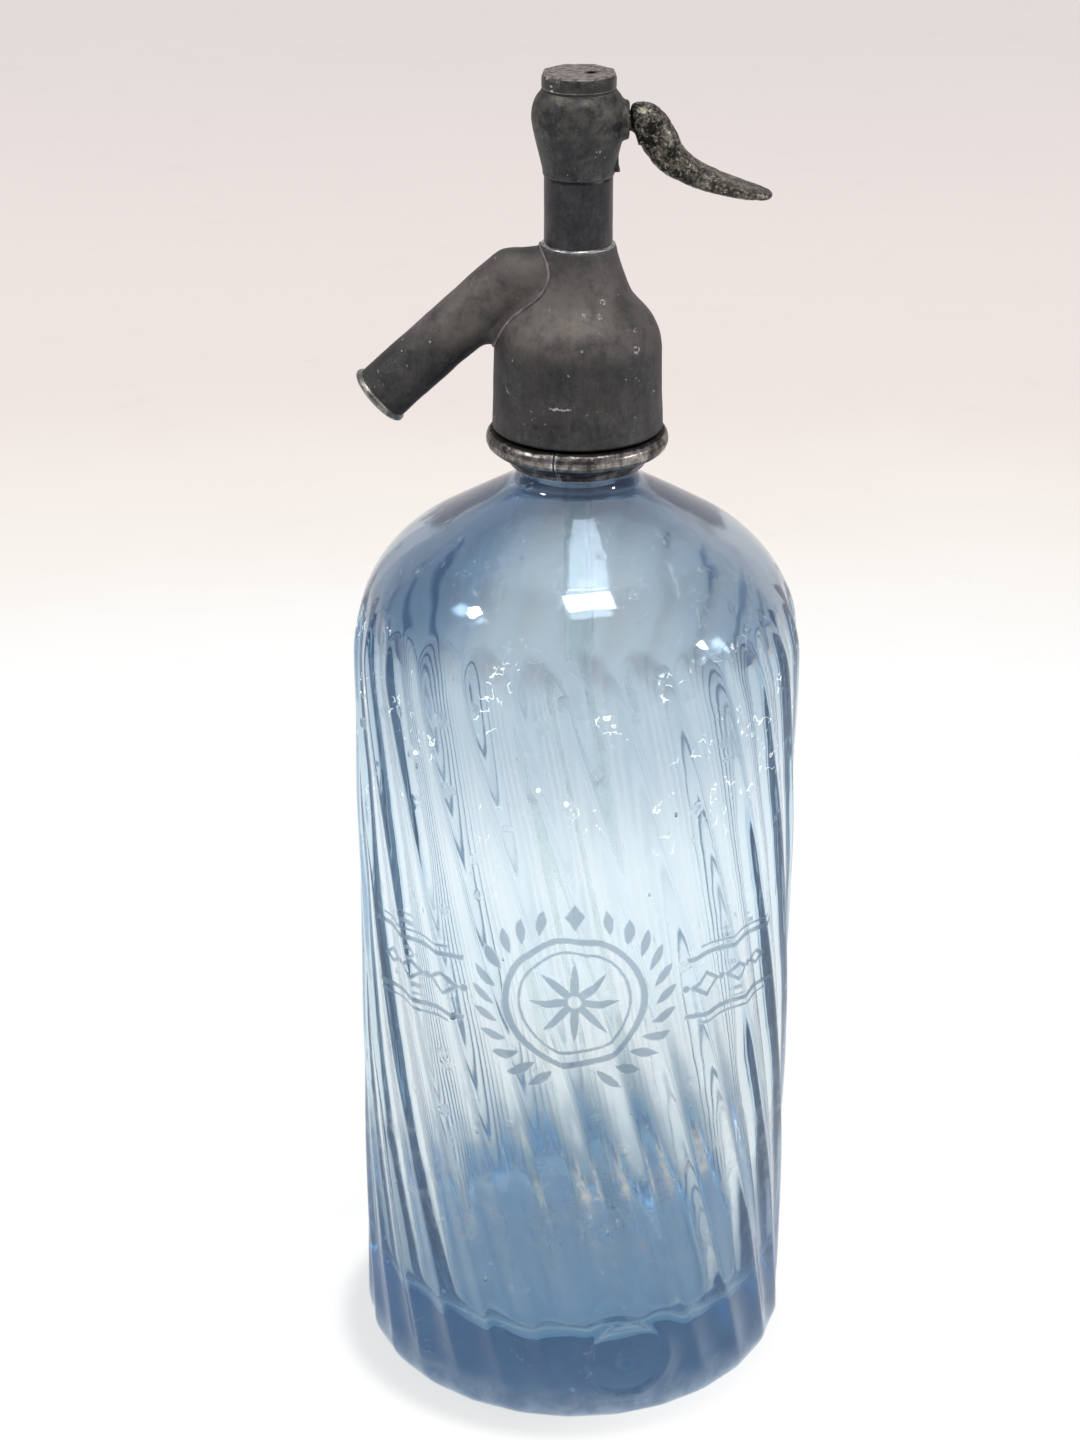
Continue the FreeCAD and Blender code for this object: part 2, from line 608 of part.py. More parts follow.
save("valve_washer", Part.makeCylinder(WASHER_R - 0.05, CUP_Z0 + 1.1 - SEAT_LIP_Z - 0.02, at(0, SEAT_LIP_Z + 0.02)))
save("washer_cup", washer_cup())
save("valve_stem", valve_stem())
save("spring_collar", ring(STEM_R, 4.4, SPRING_Z0 - 1.4, SPRING_Z0))
save("return_spring", return_spring())
save("stem_yoke", stem_yoke())
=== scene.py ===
import math

import bmesh
import bpy
import numpy as np
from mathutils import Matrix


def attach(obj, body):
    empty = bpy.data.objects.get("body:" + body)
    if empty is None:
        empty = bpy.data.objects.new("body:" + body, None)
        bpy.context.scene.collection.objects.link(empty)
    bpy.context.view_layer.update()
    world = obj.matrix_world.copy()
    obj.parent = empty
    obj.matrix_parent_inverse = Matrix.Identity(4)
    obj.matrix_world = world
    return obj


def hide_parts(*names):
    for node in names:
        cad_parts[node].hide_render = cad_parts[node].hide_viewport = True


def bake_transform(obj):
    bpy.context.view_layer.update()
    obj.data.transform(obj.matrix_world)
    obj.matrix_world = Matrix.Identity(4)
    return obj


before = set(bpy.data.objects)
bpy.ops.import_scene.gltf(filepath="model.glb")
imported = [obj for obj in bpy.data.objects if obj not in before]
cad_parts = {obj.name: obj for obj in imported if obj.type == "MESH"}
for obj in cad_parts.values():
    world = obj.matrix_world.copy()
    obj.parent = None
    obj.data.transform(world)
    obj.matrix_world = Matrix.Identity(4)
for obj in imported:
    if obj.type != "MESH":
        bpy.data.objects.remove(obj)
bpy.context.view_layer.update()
HOLDER = "bottle_and_head"      # the body that everything but the lever and the valve belongs to


# ---- Camera ------------------------------------------------------------------------------------
# The bottle is looked at from its front, a little from above, as one sees it on a table.
# Its axis stands slightly right of the middle of the picture.

EYE = (0.0, -0.687, 0.468)
LOOK_DOWN = 24.2
TURN_LEFT = 0.684


def add_object(name, data):
    """Object in the scene from the data of a camera, a lamp or a mesh."""
    thing = bpy.data.objects.new(name, data)
    bpy.context.scene.collection.objects.link(thing)
    return thing


camera = add_object("camera", bpy.data.cameras.new("camera"))
camera.data.lens = 82.5
camera.data.clip_start = 0.01
camera.location = EYE
camera.rotation_euler = (math.radians(90 - LOOK_DOWN), 0, math.radians(TURN_LEFT))
bpy.context.scene.camera = camera
bpy.context.scene.view_settings.view_transform = "Standard"


# ---- Floor and backdrop ------------------------------------------------------------------------
# A sheet of white paper that runs under the bottle and sweeps up behind it.
# It turns faintly pink and grey away from the light, and a shadow of the bottle is painted onto it.

MM = 0.001
CREASE = math.radians(42)       # faces that meet at more than this keep a sharp edge


def mesh_object(name, points, faces, mend=None):
    """Smooth object from points in millimetres; mend may work on its mesh before."""
    mesh = bpy.data.meshes.new(name)
    mesh.from_pydata((points * MM).tolist(), [], faces)
    if mend:
        work = bmesh.new()
        work.from_mesh(mesh)
        mend(work)
        work.to_mesh(mesh)
        work.free()
    mesh.shade_smooth()
    mesh.set_sharp_from_angle(angle=CREASE)
    return add_object(name, mesh)


def weld_points(work):
    """Merges points that lie on each other."""
    bmesh.ops.remove_doubles(work, verts=work.verts, dist=1e-7)


def grid_object(name, points, wrap=True, ring=False, weld=False, lids=False):
    """Object from points[row, column, xyz] in millimetres, four neighbours to a face.
    wrap joins the last column to the first and ring the last row to the first, weld merges the
    points of a pole or seam, and lids closes the first and last row with one face each.
    A closed skin is turned to face outwards: its volume, the sum of the triple products of its
    faces over six, has to be positive."""
    if ring:
        points = np.concatenate([points, points[:1]])
    rows, columns = points.shape[:2]
    number = np.arange(rows * columns).reshape(rows, columns)
    beside = np.roll(number, -1, axis=1) if wrap else number[:, 1:]
    here = number if wrap else number[:, :-1]
    quads = np.stack([here[:-1], beside[:-1], beside[1:], here[1:]], axis=-1).reshape(-1, 4)
    flat = points.reshape(-1, 3)
    if wrap:
        a, b, c, d = (flat[quads[:, k]] for k in range(4))
        volume = (np.einsum("ij,ij->i", a, np.cross(b, c)) + np.einsum("ij,ij->i", a, np.cross(c, d))).sum()
        if lids:
            for row, way in ((0, -1), (-1, 1)):
                middle = points[row].mean(0)
                rim = points[row]
                after = np.roll(rim, -1, axis=0)
                volume += way * np.einsum("j,ij->i", middle, np.cross(rim, after)).sum()
        if volume < 0:
            quads = quads[:, ::-1]
    faces = quads.tolist()
    if lids:
        flip = wrap and volume < 0
        first = number[0][::1 if flip else -1].tolist()
        last = number[-1][::-1 if flip else 1].tolist()
        faces += [first, last]
    return mesh_object(name, flat, faces, weld_points if weld else None)


class Value:
    """An output of a node.  Signs and abs() on it put Math nodes behind it."""

    def __init__(self, tree, socket):
        self.tree, self.socket = tree, socket

    def __abs__(self):
        return self.tree.calc("ABSOLUTE", self)

    def __gt__(self, other):
        return self.tree.calc("GREATER_THAN", self, other)

    def __lt__(self, other):
        return self.tree.calc("LESS_THAN", self, other)


SIGNS = {"add": "ADD", "sub": "SUBTRACT", "mul": "MULTIPLY", "truediv": "DIVIDE", "pow": "POWER"}
for sign, word in SIGNS.items():
    setattr(Value, f"__{sign}__", lambda a, b, word=word: a.tree.calc(word, a, b))
    setattr(Value, f"__r{sign}__", lambda a, b, word=word: a.tree.calc(word, b, a))


class Tree:
    """A material's or a group's nodes, written as short calls."""

    def __init__(self, tree):
        self.tree = tree

    def feed(self, node, inputs):
        """Gives a node's inputs, by name or number, plain values or the outputs of other nodes."""
        for key, value in dict(inputs).items():
            value = getattr(value, "socket", value)
            if isinstance(value, bpy.types.NodeSocket):
                self.tree.links.new(value, node.inputs[key])
            else:
                node.inputs[key].default_value = value

    def put(self, kind, inputs=(), **settings):
        """Adds a node with its settings and inputs."""
        node = self.tree.nodes.new(kind)
        for key, value in settings.items():
            setattr(node, key, value)
        self.feed(node, inputs)
        return node

    def get(self, kind, inputs=(), out=0, **settings):
        """One output of a new node."""
        return Value(self, self.put(kind, inputs, **settings).outputs[out])

    def parts(self, node):
        """A node's outputs by name."""
        return {socket.name: Value(self, socket) for socket in node.outputs}

    def calc(self, operation, *values, clamp=False):
        """A Math node's result."""
        return self.get("ShaderNodeMath", enumerate(values), operation=operation, use_clamp=clamp)

    def hypot(self, x, y):
        """Square root of the sum of two squares."""
        return self.calc("SQRT", x * x + y * y)

    def ramp(self, value, low, high, to_low=0.0, to_high=1.0):
        """Maps low..high smoothly to to_low..to_high, and holds the ends."""
        inputs = {0: value, 1: low, 2: high, 3: to_low, 4: to_high}
        return self.get("ShaderNodeMapRange", inputs, interpolation_type="SMOOTHSTEP")

    def fade(self, value, low, high):
        """1 below low, 0 above high."""
        return self.ramp(value, low, high, 1.0, 0.0)

    def blend(self, factor, a, b, kind="MIX"):
        """Mix of two colours."""
        a, b = ((*colour, 1) if isinstance(colour, tuple) else colour for colour in (a, b))
        return self.get("ShaderNodeMix", {0: factor, 6: a, 7: b}, 2, data_type="RGBA", blend_type=kind)

    def tinted(self, colour, by):
        """One colour times another."""
        return self.blend(1.0, colour, by, "MULTIPLY")

    def grey(self, value):
        """The colour whose three parts are a value."""
        return self.get("ShaderNodeCombineColor", {part: value for part in range(3)})

    def noise(self, where, per_metre, detail=3.0, rough=0.55, twist=0.0, out=0):
        """Noise value with so many lumps to the metre, or its colour with out=1."""
        inputs = {"Vector": where, "Scale": per_metre, "Detail": detail, "Roughness": rough,
                  "Distortion": twist}
        return self.get("ShaderNodeTexNoise", inputs, out)

    def cells(self, where, per_metre, part=0):
        """Distance from the middle of a cell of a Voronoi pattern, and a random value per cell."""
        cell = self.parts(self.put("ShaderNodeTexVoronoi", {"Vector": where, "Scale": per_metre}))
        return cell["Distance"], self.get("ShaderNodeSeparateColor", {0: cell["Color"]}, part)

    def vector(self, operation, *values, out=0):
        """A Vector Math node's result."""
        return self.get("ShaderNodeVectorMath", enumerate(values), out, operation=operation)

    def frayed(self, place, per_metre, reach):
        """The place moved by a noise colour times reach, for torn outlines."""
        moved = {0: self.noise(place, per_metre, 2.0, 0.5, out=1), 3: reach}
        return self.vector("ADD", place, self.get("ShaderNodeVectorMath", moved, operation="SCALE"))

    def stretched(self, place, scale, turn=(0, 0, 0)):
        """The place turned and scaled, which draws a pattern out along an axis."""
        return self.get("ShaderNodeMapping", {0: place, 2: turn, 3: scale})

    def place(self):
        """The point on the object, in metres."""
        return self.get("ShaderNodeTexCoord", out="Object")

    def split(self, place):
        """The three parts of a place."""
        return self.parts(self.put("ShaderNodeSeparateXYZ", {0: place})).values()

    def relief(self, shader, height, strength, depth):
        """Bump on a shader, depth in metres."""
        bump = self.get("ShaderNodeBump", {"Strength": strength, "Distance": depth, "Height": height})
        self.feed(shader, {"Normal": bump})


def new_material(name, **sockets):
    """Node material with one Principled shader; sockets are its plain values."""
    material = bpy.data.materials.new(name)
    material.use_nodes = True
    tree = Tree(material.node_tree)
    shader = material.node_tree.nodes["Principled BSDF"]
    for key, value in sockets.items():
        shader.inputs[key.replace("_", " ")].default_value = value
    return material, tree, shader


FLOOR_REACH = 2400.0
SWEEP_START = 1350.0
SWEEP_R = 500.0
SWEEP_TOP = 1500.0
PAPER_Z = -0.00015      # just below the foot, so that the two don't share a plane


def backdrop_sheet():
    """A line towards the back, a quarter circle and a line upwards, carried straight across."""
    turn = np.linspace(0, math.pi / 2, 24)
    along = np.concatenate([np.linspace(-FLOOR_REACH, SWEEP_START, 30),
                            SWEEP_START + SWEEP_R * np.sin(turn[1:]), [SWEEP_START + SWEEP_R]])
    up = np.concatenate([np.zeros(30), SWEEP_R * (1 - np.cos(turn[1:])), [SWEEP_TOP]])
    across = np.linspace(-FLOOR_REACH, FLOOR_REACH, 20)
    points = np.empty((len(along), len(across), 3))
    points[..., 0] = across
    points[..., 1] = along[:, None]
    points[..., 2] = up[:, None] + PAPER_Z
    return points


floor = grid_object("backdrop", backdrop_sheet(), wrap=False)
paper, t, shader = new_material("white_paper", Base_Color=(0.80, 0.79, 0.78, 1), Roughness=0.9,
                                Specular_IOR_Level=0.1)
place = t.place()
x, y, z = t.split(place)
away = y + z * 0.9 + (t.noise(place, 5.0) - 0.5) * 0.16
near = t.blend(t.ramp(away, 0.36, 0.56), (1.06, 1.06, 1.06), (0.985, 0.935, 0.875))
far = t.blend(t.ramp(away, 0.80, 1.50), (0.905, 0.815, 0.785), (0.815, 0.752, 0.728))
shade = t.blend(t.ramp(away, 0.50, 0.74), near, far)
smudge = t.ramp(t.noise(place, 38.0, detail=5.0, rough=0.65), 0.55, 0.75, 1.0, 0.975)
shade = t.tinted(shade, t.grey(smudge))
rays = t.put("ShaderNodeLightPath").outputs
seen = t.calc("MAXIMUM", rays["Is Glossy Ray"], rays["Is Transmission Ray"])
seen = t.calc("MAXIMUM", rays["Is Camera Ray"], seen)
# Painted shadow: seen through the glass, the paper under and behind the bottle is painted dark blue, ringed
# by a brighter painted pool of light; seen directly, a faint grey painted contact shadow lies along the left
# of the foot.
spot = t.hypot(x, y - 0.015)
cast = t.blend(t.ramp(spot, 0.035, 0.070), (0.13, 0.29, 0.42), (0.28, 0.335, 0.37))
cast = t.blend(t.ramp(spot, 0.062, 0.118), cast, (1.11, 1.07, 1.01))
contact_shadow = t.fade(t.hypot(x + 0.003, y), 0.0500, 0.0575) * t.ramp(x, -0.02, 0.045, 0.26, 0.05)
cast = t.blend(rays["Is Transmission Ray"], t.blend(contact_shadow, (1.0, 1.0, 1.0), (0.10, 0.12, 0.13)), cast)
print_light = t.get("ShaderNodeEmission", {0: t.tinted(shade, cast), 1: 1.0})
both = t.get("ShaderNodeMixShader", {0: seen * 0.9, 1: shader.outputs[0], 2: print_light})
t.feed(t.tree.nodes["Material Output"], {"Surface": both})
floor.data.materials.append(paper)


# ---- Lamps -------------------------------------------------------------------------------------
# A window high above, with a thin second pane and a faint glow off its frame, and a soft lamp to
# each side.  The room around is a dim bluish grey.

def lamp(name, place, aim, size, watts, colour=(1, 1, 1)):
    """Rectangular lamp at a place in metres, turned towards a point."""
    light = bpy.data.lights.new(name, "AREA")
    light.shape = "RECTANGLE"
    light.size, light.size_y = size
    light.energy = watts
    light.color = colour
    thing = add_object(name, light)
    thing.location = place
    way = np.array(aim, float) - np.array(place, float)
    way /= np.linalg.norm(way)
    flat = math.hypot(way[0], way[1])
    thing.rotation_euler = (math.atan2(flat, -way[2]), 0, math.atan2(-way[0], way[1]))
    return thing


lamp("window_large", (0.10, -0.215, 1.22), (0.03, 0.10, 0.2), (0.34, 0.25), 6.6, (1.0, 0.98, 0.96))
lamp("window_small", (0.08, -0.008, 1.24), (0.06, 0.22, 0.2), (0.24, 0.014), 0.22, (1.0, 0.98, 0.96))
lamp("window_frame", (0.08, 0.048, 1.24), (0.06, 0.26, 0.2), (0.13, 0.03), 0.04, (1.0, 0.98, 0.96))
lamp("soft_left", (-1.20, -0.30, 1.45), (0, 0, 0.15), (0.17, 0.17), 9.0)
lamp("soft_right", (1.45, -0.48, 0.80), (0, 0, 0.15), (0.14, 0.16), 6.5)

world = bpy.data.worlds.new("room")
bpy.context.scene.world = world
world.use_nodes = True
sky = Tree(world.node_tree)
x, y, z = sky.split(sky.get("ShaderNodeTexCoord", out="Generated"))
room_light = sky.blend(sky.ramp(y, 0.25, 0.75), (0.150, 0.160, 0.215), (0.40, 0.44, 0.56))
to_camera = sky.get("ShaderNodeLightPath", out="Is Camera Ray")
room_light = sky.blend(to_camera, room_light, (0.815, 0.752, 0.728))
sky.feed(world.node_tree.nodes["Background"], {"Color": room_light, "Strength": 1.0})


# ---- Bottle ------------------------------------------------------------------------------------
# Thick pale blue glass, pressed in a mould: 26 hollow flutes wind up the wall and end in round
# scoops on the shoulder.  The inside is uneven, the wall holds small bubbles, and the front
# carries an etched medallion.  Shade seen through the glass is painted into its colour, and light into a
# faint glow with white glints.

FLUTES = 26
FLUTE_DEPTH = 1.3
SCOOP_DEPTH = 1.45            # depth at the round upper end of a flute
SCOOP_LENGTH = 10.0
FLUTE_LEAD = 1200.0           # height of one whole turn
PER_FLUTE = 16                # columns to a flute
BODY_R, HEEL_R, FOOT_R_IN, PUNT_H = 50.4, 7.0, 33.0, 4.0
SHOULDER_Z, SHOULDER_R, SHOULDER_SPAN = 178.0, 33.3, math.radians(57)
NECK_R, NECK_Z = 13.0, 222.0
LIP_R, LIP_Z0, LIP_Z1 = 14.8, 238.0, 247.0
MOUTH_R, WALL_T, FLOOR_Z, FLOOR_ROUND = 9.2, 5.0, 19.4, 9.0
HEEL_END = HEEL_R * math.pi / 2
WALL_END = HEEL_END + SHOULDER_Z - HEEL_R
FLUTE_TOP = WALL_END + 17.3   # mean length from the foot at which a flute has run out


def ripple(points, size, seed, waves=26):
    """Smooth random height, about -1 to 1: a sum of sine waves that run in random directions,
    their crests about size millimetres apart."""
    rng = np.random.default_rng(seed)
    way = rng.normal(size=(3, waves))
    way /= np.linalg.norm(way, axis=0)
    pitch = size * rng.uniform(0.65, 1.7, waves)
    phase = rng.uniform(0, 2 * math.pi, waves)
    return np.sin(points @ (way * 2 * math.pi / pitch) + phase).sum(-1) / (1.6 * math.sqrt(waves / 2))


def rise(value, start, width):
    """0 up to start, then straight up to 1 over a width."""
    return np.clip((value - start) / width, 0, 1)


def fall(value, end, width):
    """1, then straight down over a width to 0 at the end."""
    return np.clip((end - value) / width, 0, 1)


def hump(value, middle, width):
    """Bell curve of height 1 around a middle."""
    return np.exp(-((value - middle) / width) ** 2)


def circle(count):
    """Angles spread evenly over one turn."""
    return np.linspace(0, 2 * math.pi, count, endpoint=False)


def arc(centre_r, centre_z, radius, start, end, count):
    """Points (r, z) on a circle from one angle to another, in degrees above level."""
    turn = np.radians(np.linspace(start, end, count))
    return np.stack([centre_r + radius * np.cos(turn), centre_z + radius * np.sin(turn)], axis=1)


def run(r0, z0, r1, z1, count):
    """Points on a straight line, without its first and last."""
    share = np.linspace(0, 1, count + 2)[1:-1, None]
    return np.array([[r0, z0]]) * (1 - share) + np.array([[r1, z1]]) * share


def bottle_outside():
    """Outline from the foot's inner edge to the mouth as rows of (r, z), with the length along
    it, which is counted from where the heel leaves the foot."""
    centre_r = BODY_R - SHOULDER_R
    heel = arc(BODY_R - HEEL_R, HEEL_R, HEEL_R, -90, 0, 16)
    wall = np.concatenate([run(BODY_R, HEEL_R, BODY_R, 30, 24), [[BODY_R, 30.0]],
                           run(BODY_R, 30, BODY_R, SHOULDER_Z, 50)])
    shoulder = arc(centre_r, SHOULDER_Z, SHOULDER_R, 0, math.degrees(SHOULDER_SPAN), 36)
    slope = run(*shoulder[-1], NECK_R + 3.2, 216.9, 5)
    into_neck = np.array([[NECK_R + 3.2, 216.9], [NECK_R + 1.75, 217.9], [NECK_R + 0.75, 219.0],
                          [NECK_R + 0.2, 220.4], [NECK_R, NECK_Z]])
    neck = run(NECK_R, NECK_Z, NECK_R, LIP_Z0, 3)
    lip = np.concatenate([[[NECK_R, LIP_Z0], [NECK_R + 0.3, LIP_Z0]], [[LIP_R - 0.3, LIP_Z0]],
                          arc(LIP_R - 0.6, LIP_Z0 + 0.6, 0.6, -60, 0, 3),
                          arc(LIP_R - 1, LIP_Z1 - 1, 1, 0, 90, 5),
                          arc(MOUTH_R + 0.8, LIP_Z1 - 0.8, 0.8, 90, 180, 5)])
    rows = np.concatenate([heel, wall, shoulder, slope, into_neck, neck, lip])
    length = np.concatenate([[0], np.cumsum(np.hypot(*np.diff(rows, axis=0).T))])
    return rows, length


def bottle_inside():
    """Inner outline from the mouth down to the middle of the floor, as rows of (r, z)."""
    centre_r = BODY_R - SHOULDER_R
    inner_r = BODY_R - WALL_T
    span = math.degrees(SHOULDER_SPAN)
    shoulder = arc(centre_r, SHOULDER_Z, SHOULDER_R - WALL_T, span, 0, 14)
    return np.concatenate([run(MOUTH_R, LIP_Z1 - 1, MOUTH_R, NECK_Z - 2, 4), [[MOUTH_R, NECK_Z - 3]],
                           run(MOUTH_R, NECK_Z - 3, *shoulder[0], 4), shoulder,
                           run(inner_r, SHOULDER_Z, inner_r, FLOOR_Z + FLOOR_ROUND, 22),
                           arc(inner_r - FLOOR_ROUND, FLOOR_Z + FLOOR_ROUND, FLOOR_ROUND, 0, -90, 12),
                           run(inner_r - FLOOR_ROUND, FLOOR_Z, 0, FLOOR_Z - 0.9, 8), [[0, FLOOR_Z - 0.9]]])


def about_axis(radius, angle, z):
    """Points at a radius, an angle and a height."""
    return np.stack(np.broadcast_arrays(radius * np.cos(angle), radius * np.sin(angle), z), axis=-1)


def spun(rows, angle):
    """Turns rows of (r, z) about the axis: points[row, column] at each column's angle, which may
    differ from row to row."""
    return about_axis(rows[:, :1], angle, rows[:, 1:])


def unit(vectors):
    """Vectors cut to length one."""
    return vectors / np.linalg.norm(vectors, axis=-1, keepdims=True)


def bottle_glass():
    """Closed skin from the middle of the hollow foot over the fluted wall and the mouth to the
    middle of the floor.  A flute takes depth times one minus the square of the distance from its
    middle line, counted in half widths; past its end the distance along it counts as well, so
    that it closes in a round scoop."""
    rng = np.random.default_rng(11)
    columns = FLUTES * PER_FLUTE
    across = (np.arange(columns) % PER_FLUTE) / PER_FLUTE * 2 - 1
    flute = np.arange(columns) // PER_FLUTE
    outer, length = bottle_outside()
    twist = -2 * math.pi * np.minimum(length, WALL_END + 33.0) / FLUTE_LEAD
    base = 2 * math.pi * np.arange(columns) / columns - math.pi / FLUTES
    wander = np.interp(np.arange(columns) / PER_FLUTE, np.arange(FLUTES + 1),
                       np.append(rng.normal(0, 0.004, FLUTES), 0))
    skin = spun(outer, base + wander * rise(length, 0, 60)[:, None] + twist[:, None])
    past = np.clip((length[:, None] - (FLUTE_TOP + rng.normal(0, 0.9, FLUTES)[flute] - SCOOP_LENGTH))
                   / SCOOP_LENGTH, 0, None)
    near_top = rise(length, FLUTE_TOP - 26, 20)[:, None]
    full = (FLUTE_DEPTH + (SCOOP_DEPTH - FLUTE_DEPTH) * near_top) * (1 + rng.normal(0, 0.07, FLUTES))[flute]
    start = rise(length[:, None], 4.0, 14.0)
    hollow = np.clip(1 - across ** 2 - past ** 2, 0, None) ** 1.5
    depth = full * (0.10 + 0.90 * start * start * (3 - 2 * start)) * hollow * rise(length[:, None], 0, 5)
    slope = np.gradient(outer, axis=0)
    slope /= np.linalg.norm(slope, axis=1, keepdims=True) + 1e-9
    out_r, out_z = slope[:, 1:], -slope[:, :1]
    sag = rise(length, 2, 12)[:, None] * fall(length, WALL_END + 45, 12)[:, None]
    depth = depth + 0.10 * sag * (1 + ripple(skin, 34, 3))
    disc, plain = heel_disc(skin)
    depth = depth * (1 - plain) + disc * (length[:, None] < WALL_END)
    skin[..., :2] -= unit(skin[..., :2]) * (depth * out_r)[..., None]
    skin[..., 2] -= depth * out_z
    inner = spun(bottle_inside(), base + twist[-1])
    body = rise(inner[..., 2], FLOOR_Z, 10) * fall(inner[..., 2], 180, 30)
    uneven = 0.32 * ripple(inner * (1, 1, 0.45), 26, 5) + 0.07 * ripple(inner * (1, 1, 0.7), 11, 6)
    reach = np.hypot(inner[..., 0], inner[..., 1])
    edge = hump(reach, 41, 5) * fall(inner[..., 2], 34, 8)
    heavy = 2.2 * fall(inner[..., 2], 60, 40)
    shrink = 1 - (heavy + body * (0.35 + uneven)) / np.maximum(reach, 1)
    lift = edge * 0.9 * ripple(inner * (1, 1, 0), 17, 8)
    inner[..., :2] *= shrink[..., None]
    inner[..., 2] += lift
    punt = np.concatenate([[[0, PUNT_H]], run(0, PUNT_H, 17, 2.9, 3), [[17, 2.9]],
                           run(17, 2.9, FOOT_R_IN, 0, 3), [[FOOT_R_IN, 0]],
                           run(FOOT_R_IN, 0, BODY_R - HEEL_R, 0, 3)])
    return np.concatenate([spun(punt, base), skin, inner])


def heel_disc(skin):
    """Depth of the round moulder's mark on the heel: a sunk disc with a raised lip around it and
    a dimple in its middle, by the distance from its centre line; and a mask of the flat around it."""
    centre = np.array([12.4, -48.9, 18.4])
    level = np.linalg.norm((skin - centre) * (1, 0.6, 1), axis=-1)
    front = skin[..., 1] < -20
    bowl = 0.65 * np.clip(1 - (level / 9.6) ** 6, 0, 1)
    lip = 0.55 * hump(level, 10.0, 0.9)
    dimple = 0.8 * hump(level, 0, 1.6) - 0.45 * hump(level, 3.0, 0.8)
    return front * (bowl - lip + dimple), front * fall(level, 15, 4)


def bubbles():
    """Small closed ovals in the wall, drawn out along the flutes; each is a unit ball of rings
    times three half lengths, with its faces turned inwards, as on a hollow."""
    rng = np.random.default_rng(29)
    count = 70
    lat = np.linspace(0, math.pi, 7)
    lon = circle(8)
    ball = about_axis(np.sin(lat)[:, None], lon, np.cos(lat)[:, None])
    size = 0.16 + 0.42 * rng.power(0.55, count)
    long = size * rng.uniform(1.0, 2.6, count)
    azimuth = rng.uniform(0, 2 * math.pi, count)
    height = rng.uniform(24, 176, count)
    radius = rng.uniform(46.6, 47.9, count)
    half = np.stack([np.minimum(size, 0.5), size, long], axis=1)
    pieces = ball[None] * half[:, None, None]
    c, s = np.cos(azimuth)[:, None, None], np.sin(azimuth)[:, None, None]
    x = radius[:, None, None] + pieces[..., 0]
    return np.stack([c * x - s * pieces[..., 1], s * x + c * pieces[..., 1],
                     height[:, None, None] + pieces[..., 2]], axis=-1)


def join_all(name, things):
    """One object from several, which are removed."""
    with bpy.context.temp_override(active_object=things[0], selected_editable_objects=things):
        bpy.ops.object.join()
    things[0].name = name
    return things[0]


bottle = grid_object("bottle_glass", bottle_glass(), weld=True)
seeds = []
for k, oval in enumerate(bubbles()):
    seed = grid_object(f"bubble_{k}", oval, weld=True)
    seed.data.flip_normals()
    seeds.append(seed)
bottle = join_all("bottle_glass", [bottle] + seeds)

ETCH_Z = 113.0                # height of the medallion's middle
ETCH_R = 49.5
MID_WALL = 0.0462             # radius in metres that parts the outer skin from the inner one
FOOT_EDGE = 0.0440            # and the foot from the heel


def etched_design(t, place):
    """Mask of the etched medallion: an eight-pointed star in two rings, a wreath of leaves around
    them and, to both sides, a chain of lozenges between lines.  Each form is a distance that is
    negative inside; the smallest of them, made slightly uneven, gives the mask."""
    x, y, z = t.split(place)
    u = t.calc("ARCTAN2", x, y * -1.0) * ETCH_R
    v = z * 1000.0 - ETCH_Z
    side, level = abs(u), abs(v)
    far = t.hypot(u, v)
    phi = t.calc("ARCTAN2", u, v)

    def band(value, middle, half):
        return abs(value - middle) - half

    def within(a, b):
        return t.calc("MAXIMUM", a, b)

    forms = [band(far, 15.6, 0.75), band(far, 12.6, 0.35)]
    ray = t.calc("FRACT", phi / (math.pi / 4) + 0.5)
    tip = 1.0 - abs(ray - 0.5) * 2.0
    reach = 2.6 + tip ** 1.7 * 7.6
    forms.append(within((far - reach) * 0.5, 1.5 - far))
    leaves = 26
    along = (t.calc("FRACT", abs(phi) * (leaves / (2 * math.pi))) - 0.5) * (2 * math.pi * 21.0 / leaves)
    out = far - 21.0
    lean = math.radians(32)
    leaf_l = out * math.cos(lean) - along * math.sin(lean)
    leaf_w = out * math.sin(lean) + along * math.cos(lean)
    long_share = leaf_l / 3.3
    leaf = abs(leaf_w) - (1.0 - long_share * long_share) * 1.15
    top_gap = (0.30 - abs(phi)) * 20.0
    low_gap = (abs(phi) - (math.pi - 0.22)) * 20.0
    forms.append(within(within(leaf, top_gap), low_gap))
    for middle, wide, high in ((31.5, 4.6, 3.2), (41.0, 3.7, 2.6), (49.0, 3.0, 2.1)):
        solid = (abs(side - middle) / wide + level / high - 1.0) * (high * 0.75)
        forms.append(within(solid, -0.85 - solid))
    for middle in (26.0, 36.6, 45.4):
        forms.append(t.calc("SQRT", (side - middle) ** 2.0 + v * v) - 0.85)
    forms.append(within(band(level, 7.4, 0.6), band(side, 40.5, 14.5)))
    forms.append(within(band(level, 9.4, 0.3), band(side, 41.5, 11.5)))
    crown = side / 2.2 + band(v, 21.5, 0.0) / 3.2
    forms.append((crown - 1.0) * 1.5)
    nearest = forms[0]
    for form in forms[1:]:
        nearest = t.calc("MINIMUM", nearest, form)
    waver = (t.noise(place, 900, detail=2.0) - 0.5) * 0.55
    radius = t.hypot(x, y)
    return t.fade(nearest + waver, -0.22, 0.22) * ((radius > 0.0472) * (y < 0.0)), radius, x, y, z


